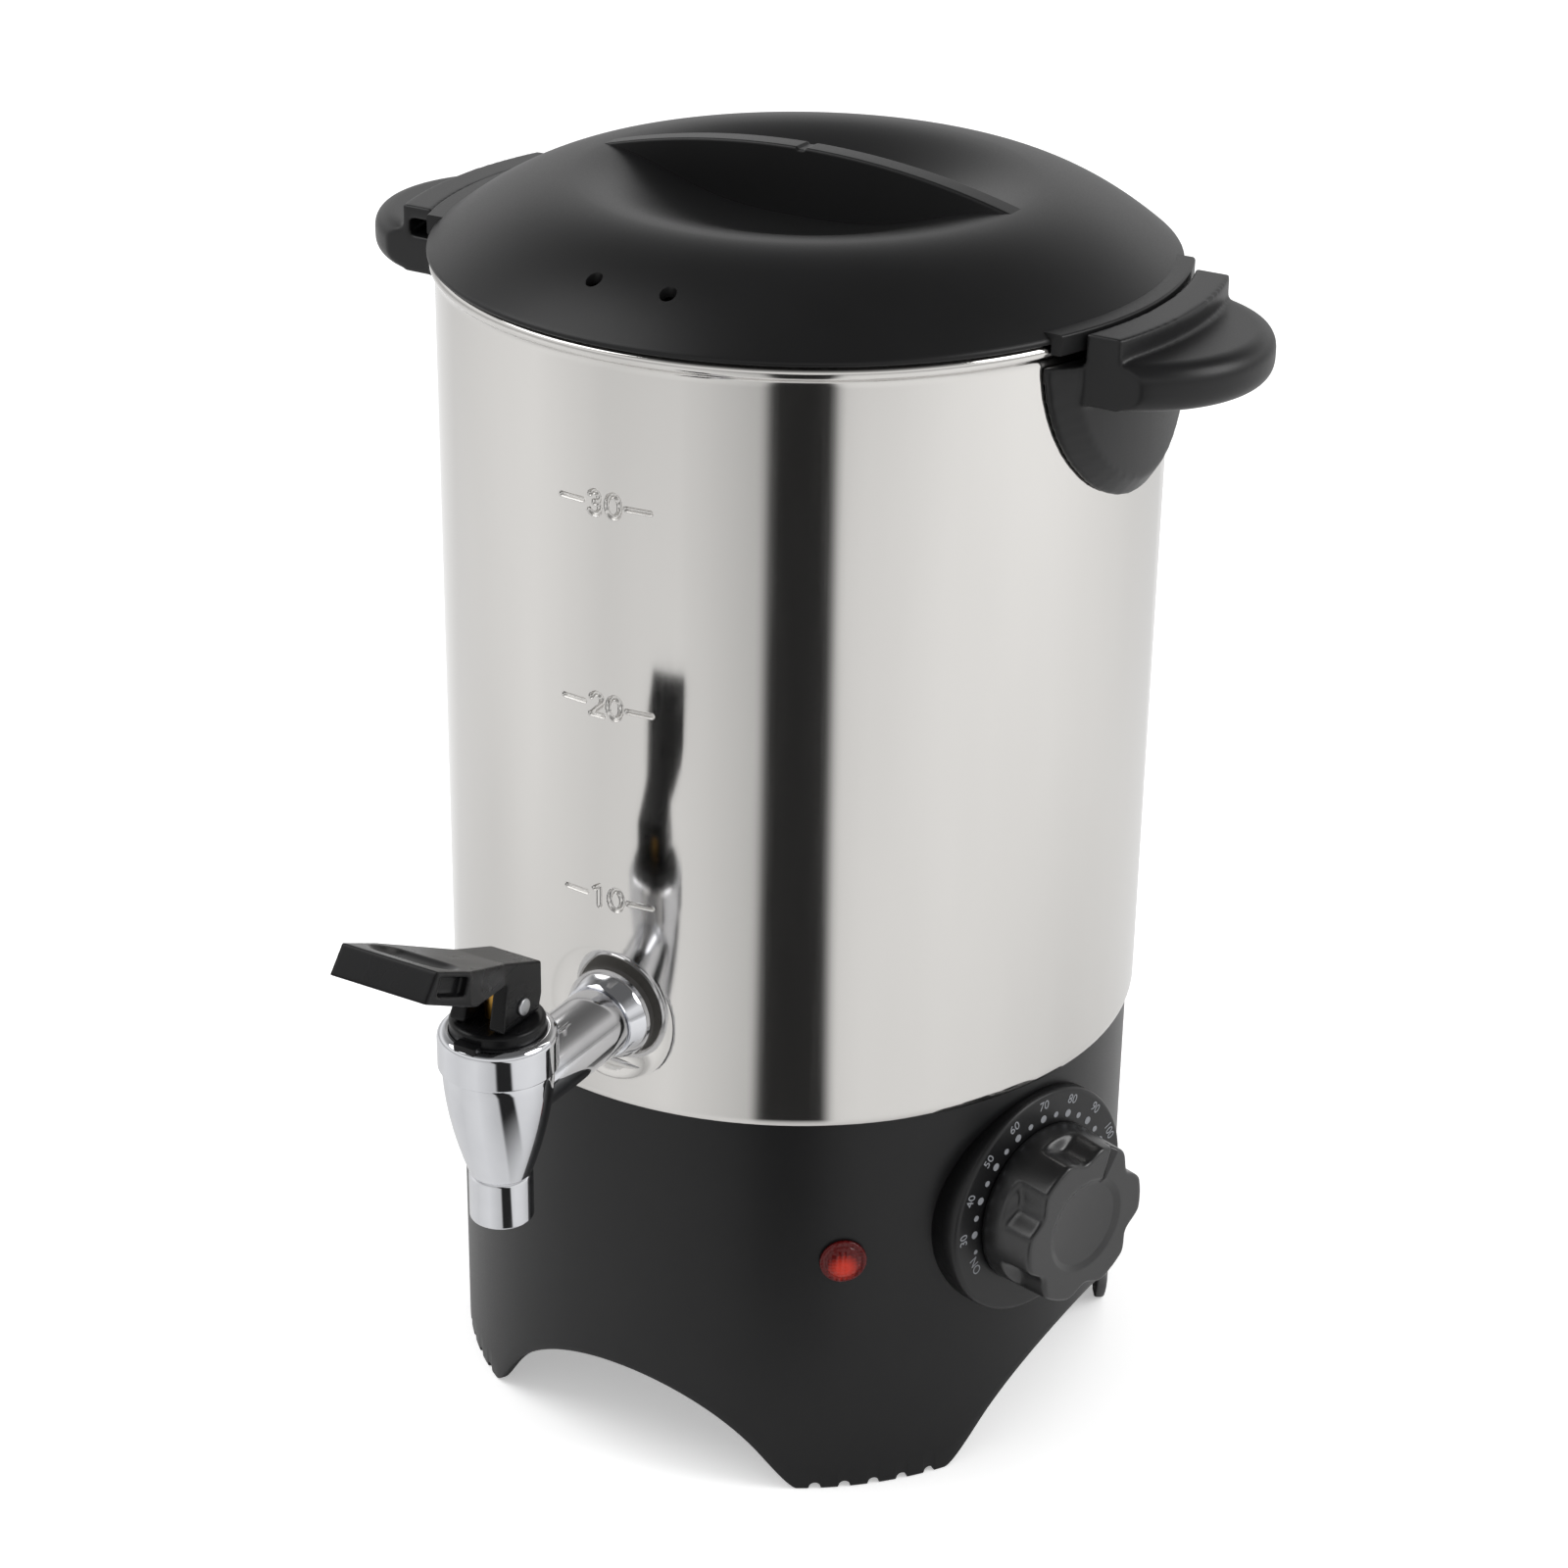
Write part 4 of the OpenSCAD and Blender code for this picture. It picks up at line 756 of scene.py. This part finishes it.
def merged_copy(node):
    """A closed copy of a CAD node's mesh, free of doubled points and of triangles in flat faces."""
    weld, flat = 2e-6, math.radians(0.6)
    made = bmesh.new()
    made.from_mesh(NODES[node].data)
    bmesh.ops.remove_doubles(made, verts=made.verts, dist=weld)
    bmesh.ops.dissolve_limit(made, angle_limit=flat, verts=made.verts, edges=made.edges)
    return made


def build_stem():
    """Turned brass stem with its disc."""
    foot, above, top, stem_r, disc_r = STEM_FOOT, STEM_FOOT + STEM_DISC, PIVOT_Z + 6.2, 3.2, 6.0
    bevel, soft = 0.2, 0.6
    profile = [(AXIS_R, foot), (disc_r - bevel, foot), (disc_r, foot + bevel), (disc_r, above - bevel)]
    profile += [(disc_r - bevel, above), (stem_r, above), (stem_r, top - soft)]
    profile += arc(stem_r - soft, top - soft, soft, 15, 90, 5) + [(AXIS_R, top)]
    points, faces = turned(profile, 64)
    stem = piece("stem_rod", at_tap(points), faces, BRASS, "valve", ["tap_stem"])
    sharpen(stem, degrees=35)


def build_pin():
    """Steel pin through the lever's cheeks, with a flat head at each end."""
    pin_r, head_r, cheek, end, soft = 1.5, 2.4, 8.05, 8.8, 0.35
    half = [(pin_r, 0), (pin_r, cheek), (head_r, cheek), (head_r, end - soft)]
    half += arc(head_r - soft, end - soft, soft, 15, 90, 4) + [(AXIS_R, end)]
    profile = [(r, -z) for r, z in reversed(half)] + half[1:]
    place = Matrix.Translation((0, -TAP_REACH * MM, PIVOT_Z * MM)) @ Matrix.Rotation(math.pi / 2, 4, "Y")
    points, faces = turned(profile, 40)
    pin = piece("cheek_pin", points, faces, ZINC, "tap_lever", ["lever_pin"], place)
    sharpen(pin, degrees=35)


def build_spring():
    """Return spring above the stem's disc, reaching up to the bonnet."""
    coil_r, wire_r, turns, sides, steps = 5.0, 0.6, 6, 10, 150
    low, high, travel = STEM_FOOT + STEM_DISC, BONNET_FOOT, 3.05
    points = []
    for t in np.linspace(0, 1, steps + 1):
        a = 2 * math.pi * turns * t
        z = low + wire_r + (high - low - 2 * wire_r) * t
        for out, up in arc(coil_r, z, wire_r, 0, 360 - 360 / sides, sides):
            points.append((out * math.cos(a), out * math.sin(a), up))
    spring = piece("valve_spring", at_tap(points), capped(steps + 1, sides), ZINC,
                   stands_for=["tap_spring"])
    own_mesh(spring)


def build_moulding(node, name, material, voxel_mm, passes, body="urn"):
    """A CAD node's form with softly rounded moulded edges: a handle or the lever."""
    made = merged_copy(node)
    mesh = bpy.data.meshes.new(name)
    made.to_mesh(mesh)
    made.free()
    rough = new_object(name + "_rough", mesh)
    remesh = rough.modifiers.new("fine", "REMESH")
    remesh.mode = "VOXEL"
    remesh.voxel_size = voxel_mm * MM
    soften = rough.modifiers.new("soften", "SMOOTH")
    soften.factor = 0.5
    soften.iterations = passes
    smooth = shown(rough)
    smooth.name = name
    dress(name, smooth, material, body, [node])


def build_bezel():
    """Raised ring of the dial: flat face, soft rim, back fitted to the round base, and its print."""
    soft, hole, sides, gap = 1.4, 5.05, 160, 0.03
    # A height of None stands for the round of the base behind the ring
    ring = [(BEZEL_R, None), (BEZEL_R, BEZEL_FACE - 2.0)]
    ring += arc(BEZEL_R - soft, BEZEL_FACE - soft, soft, 0, 90, 7) + [(26, BEZEL_FACE), (hole, BEZEL_FACE)]
    ring += [(r, None) for r in (hole, 14, 24)]
    points = []
    for r, z in ring:
        for a in np.linspace(0, 2 * math.pi, sides, endpoint=False):
            x, y = r * math.cos(a), r * math.sin(a)
            points.append((x, y, math.sqrt(BASE_R ** 2 - x * x) + gap if z is None else z))
    faces = woven(len(ring), sides, True, True)
    place = facing(DIAL_AZ, DIAL_Z)
    piece("dial_ring", points, faces, BLACK, stands_for=["dial_bezel"], place=place)
    build_scale(place)


def build_scale(place):
    """Printed dial: large dots at the tens, small ones between, numbers and ON."""
    thick, dot_ring, dot_sides, letter, sharp = 0.06, 26.4, 20, 3.9, 40
    # Degrees for each unit of the scale, the number at its top, and the place of ON
    per_unit, top_unit, on_at = 2.27, 70, -113.0
    spots = [(5 * step * per_unit, 0.9 if step % 2 else 1.15) for step in range(-8, 9)]
    spots += [(on_at + 9.3, 0.7)]
    dots = []
    for degrees, radius in spots:
        a = math.radians(90 - degrees)
        cx, cy = dot_ring * math.cos(a), dot_ring * math.sin(a)
        disc = [(cx + radius * math.cos(t), cy + radius * math.sin(t), BEZEL_FACE + h)
                for h in (0.0, thick) for t in np.linspace(0, 2 * math.pi, dot_sides, endpoint=False)]
        dots.append((disc, capped(2, dot_sides)))
    points, faces = both(*dots)
    print_dots = piece("dial_dots", points, faces, INK, place=place)
    sharpen(print_dots, sharp)
    labels = [(str(t), (t - top_unit) * per_unit, 30.6) for t in range(30, 111, 10)] + [("ON", on_at, 27.6)]
    for k, (text, degrees, out) in enumerate(labels):
        curve = bpy.data.curves.new("label", "FONT")
        curve.body = text
        curve.size = letter * MM
        curve.extrude = thick * MM / 2
        curve.align_x = "CENTER"
        curve.align_y = "CENTER"
        mesh = shown(new_object("label", curve))
        a = math.radians(90 - degrees)
        at = Vector((out * math.cos(a), out * math.sin(a), BEZEL_FACE + thick / 2)) * MM
        mesh.transform(place @ Matrix.Translation(at) @ Matrix.Rotation(-math.radians(degrees), 4, "Z"))
        label = dress("dial_label_%d" % k, mesh, INK)
        sharpen(label, sharp)


def build_knob():
    """Fluted knob with ramped flutes, soft edges, a round dish and a pointer notch."""
    sides, pitch, taper, soft, hollow = 480, 60, 0.8, 1.1, 18.0
    flute_half, flute_depth, flute_power = 18.5, 3.2, 0.8
    notch_from, notch_half, notch_spread, notch_deep = 13.6, 0.6, 0.13, 1.4
    foot, top, edge = KNOB_FOOT, KNOB_FOOT + KNOB_H, KNOB_R - taper

    def flute(degrees):
        """1 in the middle of a flute, 0 on the lands between."""
        off = abs((degrees - 90 + POINTER_AZ) % pitch - pitch / 2)
        return (0.5 + 0.5 * math.cos(math.pi * min(1.0, off / flute_half))) ** flute_power

    # Radius, height and share of the flutes' depth, from the shaft's hole outwards and up to the dish
    rows = [(3.05, foot + 4.1, 0), (hollow, foot + 4.0, 0), (hollow, foot + 0.2, 0), (hollow + 0.2, foot, 0)]
    rows += [(KNOB_R - 0.3, foot, 0), (KNOB_R, foot + 0.3, 0)]
    for h in (1.5, 3.0, 4.5, 5.5, 6.1, 6.5, 6.9, 7.3, 7.7, 8.1, 8.6, 10.0, 11.5, 13.0, 14.5, 15.6, 16.3):
        deep = float(smooth_step(np.array(h), 6.0, 8.5))
        rows.append((KNOB_R - taper * h / KNOB_H, foot + h, deep))
    rows += [(edge - soft + x, top - soft + y, 1.0) for x, y in arc(0, 0, soft, 10, 90, 6)]
    rows += [(r, top, max(0.0, r - 18) / 4.1) for r in (21.0, 20.0, 18.9, 17.8, 16.6, 15.4, 14.6)]
    rows += [(14.25, top - 0.03, 0), (14.0, top - 0.12, 0), (12.6, top - 0.82, 0), (12.4, top - 0.9, 0)]
    rows += [(r, top - 1.4 + 0.5 * (r / 12.3) ** 2, 0) for r in (12, 11, 9, 7, 5, 3, 1, AXIS_R)]
    points = []
    for r, z, deep in rows:
        for k in range(sides):
            degrees = 360 * k / sides
            a = math.radians(degrees)
            rr = r - flute_depth * deep * flute(degrees)
            zz = z
            off = abs((degrees - (90 - POINTER_AZ) + 180) % 360 - 180)
            wide = abs(math.radians(off) * rr)
            notch = notch_half + notch_spread * (rr - notch_from)
            if rr > notch_from and z > top - 2.0 and wide < notch:
                zz = z - notch_deep * (1 - wide / notch)
            points.append((rr * math.cos(a), rr * math.sin(a), zz))
    faces = woven(len(rows), sides, False, True)
    piece("knob_grip", points, faces, KNOB_BLACK, body="dial_knob",
          stands_for=["knob"], place=facing(DIAL_AZ, DIAL_Z))


def build_lens():
    """Red lens: shank, collar and domed window."""
    face, shank, soft, dome_up = BASE_R, 5.0, 0.5, 1.1
    profile = [(shank, face - 11), (shank, face - 0.3)]
    profile += [(LENS_R - 0.3, face + 0.02), (LENS_R, face + 0.3), (LENS_R, face + 0.7)]
    profile += arc(LENS_R - soft, face + 0.7, soft, 20, 90, 4) + [(5.3, face + 1.15), (5.1, face + 1.0)]
    profile += [(shank * math.cos(t), face + 1.0 + dome_up * math.sin(t))
                for t in np.linspace(0.1, math.pi / 2 - 0.002, 10)]
    points, faces = turned(profile, 72)
    piece("lamp_window", points, faces, RED, stands_for=["lamp_lens"],
          place=facing(LAMP_AZ, LAMP_Z))


FINISHES = {
    "bottom_cover": PLAIN_BLACK, "base_screws": ZINC, "heater_plate": ALUMINIUM, "heating_element": ELEMENT,
    "thermal_cutout": CERAMIC, "tie_rods": ZINC, "tie_nuts": ZINC, "terminal_block": CERAMIC,
    "thermostat": CERAMIC, "thermostat_bulb": COPPER, "thermostat_nut": ZINC, "thermostat_shaft": ZINC,
    "lamp_holder": PLAIN_BLACK, "power_inlet": PLAIN_BLACK, "inlet_pins": BRASS, "inlet_screws": ZINC,
    "outer_gasket": RUBBER, "inner_gasket": SILICONE, "tap_nut": ZINC, "tap_stem": BRASS,
    "valve_cup": SILICONE, "tap_spring": ZINC, "lever_pin": ZINC, "handle_screws": ZINC,
    "handle_washers": SILICONE, "lid_seal": SILICONE, "tank": STEEL, "base_shell": BLACK_BASE,
    "dial_bezel": BLACK, "knob": KNOB_BLACK, "lamp_lens": RED, "tap_body": CHROME, "tap_flange": CHROME,
    "tap_bonnet": GLOSS_BLACK, "lever": GLOSS_BLACK, "handle_right": BLACK, "handle_left": BLACK,
    "lid_shell": BLACK_LID,
}
for cad_name, material in FINISHES.items():
    carried = NODES[cad_name].data
    carried.materials.clear()
    carried.materials.append(material)

build_tank()
build_base()
build_lid()
build_tap()
build_flange()
build_bonnet()
build_stem()
build_pin()
build_spring()
build_moulding("lever", "lever_body", GLOSS_BLACK, voxel_mm=0.3, passes=18,
               body="tap_lever")
for side in ("right", "left"):
    build_moulding("handle_" + side, "grip_" + side, BLACK, voxel_mm=0.5, passes=22)
build_bezel()
build_knob()
build_lens()


# Stage: a pale floor whose mirror image has softly darker directions, and one dark strip towards the camera
FLOOR_TONES = [
    (-180, 0.8), (-130, 0.92), (-104, 0.75), (-56, 0.86), (-30, 0.73), (-5, 0.82), (12, 0.66), (18.6, 0.6),
    (21.4, 0.022), (38.6, 0.022), (41.4, 0.8), (50, 0.84), (75, 0.87), (130, 0.84), (180, 0.74),
]
# The floor's tone in plain light, its tone in mirrors beside the urn, and the metres over which that fades
PLAIN_TONE = 0.9
BESIDE_TONE = 0.85
BESIDE_FROM = 0.12
BESIDE_TO = 0.3
CAMERA_LIFT = 0.38


def pale_floor():
    # Matt white paint. Mirrors see it darker in some directions, which the steel shows as soft upright bands
    made, tree, shader = finish_of("pale_floor_paint", Roughness=0.9, Specular_IOR_Level=0.0,
                                   Emission_Color=linear("#ffffff"))
    path = add(tree, "ShaderNodeLightPath")
    place = add(tree, "ShaderNodeTexCoord")
    turn = add(tree, "ShaderNodeMapping", [("Vector", place, "Object")], Rotation=(0, 0, math.pi / 2))
    round_urn = add(tree, "ShaderNodeTexGradient", [("Vector", turn, 0)], gradient_type="RADIAL")
    tones = grey_ramp(tree, round_urn, "Fac", [(az / 360 + 0.5, tone) for az, tone in FLOOR_TONES])
    away = add(tree, "ShaderNodeVectorMath", [(0, place, "Object")], operation="LENGTH")
    beside = add(tree, "ShaderNodeMapRange", [("Value", away, "Value"), ("To Max", tones, 0)],
                 interpolation_type="SMOOTHSTEP",
                 **{"From Min": BESIDE_FROM, "From Max": BESIDE_TO, "To Min": BESIDE_TONE})
    paint = add(tree, "ShaderNodeMapRange", [("Value", path, "Is Glossy Ray"), ("To Max", beside, 0)],
                **{"To Min": PLAIN_TONE})
    tree.links.new(paint.outputs[0], shader.inputs["Base Color"])
    # The camera sees the floor a little lighter, so that it is white away from the urn's shadow
    lift = add(tree, "ShaderNodeMath", [(0, path, "Is Camera Ray")], operation="MULTIPLY")
    lift.inputs[1].default_value = CAMERA_LIFT
    tree.links.new(lift.outputs[0], shader.inputs["Emission Strength"])
    return made


def build_stage():
    """The floor under the urn."""
    size = 40.0
    corners = [(-size, -size, 0), (size, -size, 0), (size, size, 0), (-size, size, 0)]
    floor = bpy.data.meshes.new("floor")
    floor.from_pydata(corners, [], [(0, 1, 2, 3)])
    floor.materials.append(pale_floor())
    ground = new_object("floor", floor)


def lamp(name, az, el, distance, size, power):
    """A large soft lamp aimed at the middle of the urn."""
    aim = Vector((0, 0, 0.2))
    light = bpy.data.lights.new(name, "AREA")
    light.shape = "DISK"
    light.size = size
    light.energy = power
    obj = new_object(name, light)
    a, e = math.radians(az), math.radians(el)
    way = Vector((math.sin(a) * math.cos(e), -math.cos(a) * math.cos(e), math.sin(e)))
    obj.location = aim + way * distance
    obj.rotation_mode = "QUATERNION"
    obj.rotation_quaternion = way.to_track_quat("Z", "Y")


# Brightness of the surroundings in mirrors against the sine of their height: dim low down, then bright,
# then a dim ceiling
WALL_TONES = [(0.0, 0.5), (0.2, 0.95), (0.34, 1.0), (0.52, 0.43), (0.75, 0.15)]
EVEN_LIGHT = 0.75


def build_light():
    """Even light from all round, and two lamps. Mirrors see white walls under a darker ceiling."""
    world = bpy.data.worlds.new("studio")
    bpy.context.scene.world = world
    world.use_nodes = True
    tree = world.node_tree
    tree.nodes.clear()
    white = linear("#ffffff")
    path = add(tree, "ShaderNodeLightPath")
    seen = add(tree, "ShaderNodeMath", [(0, path, "Is Camera Ray"), (1, path, "Is Transmission Ray")],
               operation="MAXIMUM")
    way = add(tree, "ShaderNodeTexCoord")
    parts = add(tree, "ShaderNodeSeparateXYZ", [(0, way, "Generated")])
    height = grey_ramp(tree, parts, "Z", WALL_TONES)
    lit = add(tree, "ShaderNodeBackground", Color=white, Strength=EVEN_LIGHT)
    mirrored = add(tree, "ShaderNodeBackground", [("Strength", height, 0)], Color=white)
    backdrop = add(tree, "ShaderNodeBackground", Color=white, Strength=1.0)
    rest = add(tree, "ShaderNodeMixShader", [(0, path, "Is Glossy Ray"), (1, lit, 0), (2, mirrored, 0)])
    mix = add(tree, "ShaderNodeMixShader", [(0, seen, 0), (1, rest, 0), (2, backdrop, 0)])
    add(tree, "ShaderNodeOutputWorld", [("Surface", mix, 0)])
    lamp("left_softbox", az=-60, el=48, distance=1.6, size=1.2, power=10)
    lamp("right_softbox", az=105, el=34, distance=1.7, size=1.0, power=11)


# Camera fitted to the photo's rim, edges and feet: azimuth and turns in degrees, distances in metres
CAM_AZ = 30.0
CAM_DISTANCE = 0.92617
CAM_HEIGHT = 0.61551
CAM_PITCH = 25.363
CAM_YAW = -0.2239
CAM_ROLL = -0.8631
CAM_LENS = 81.257


def build_camera():
    """The photo's camera."""
    data = bpy.data.cameras.new("camera")
    data.sensor_width = 36.0
    data.lens = CAM_LENS
    data.clip_start = 0.01
    data.clip_end = 100.0
    cam = new_object("camera", data)
    a = math.radians(CAM_AZ)
    ahead = Vector((-math.sin(a), math.cos(a), 0))
    right = Vector((math.cos(a), math.sin(a), 0))
    yaw, pitch, roll = (math.radians(x) for x in (CAM_YAW, CAM_PITCH, CAM_ROLL))
    level = math.sin(yaw) * right + math.cos(yaw) * ahead
    side = math.cos(yaw) * right - math.sin(yaw) * ahead
    up = Vector((0, 0, 1))
    look = math.cos(pitch) * level - math.sin(pitch) * up
    lift = math.sin(pitch) * level + math.cos(pitch) * up
    cam_x = math.cos(roll) * side - math.sin(roll) * lift
    cam_y = math.sin(roll) * side + math.cos(roll) * lift
    cam.matrix_world = Matrix((
        (cam_x.x, cam_y.x, -look.x, -ahead.x * CAM_DISTANCE),
        (cam_x.y, cam_y.y, -look.y, -ahead.y * CAM_DISTANCE),
        (cam_x.z, cam_y.z, -look.z, CAM_HEIGHT),
        (0, 0, 0, 1),
    ))
    bpy.context.scene.camera = cam


build_stage()
build_light()
build_camera()
bpy.context.scene.view_settings.view_transform = "Standard"
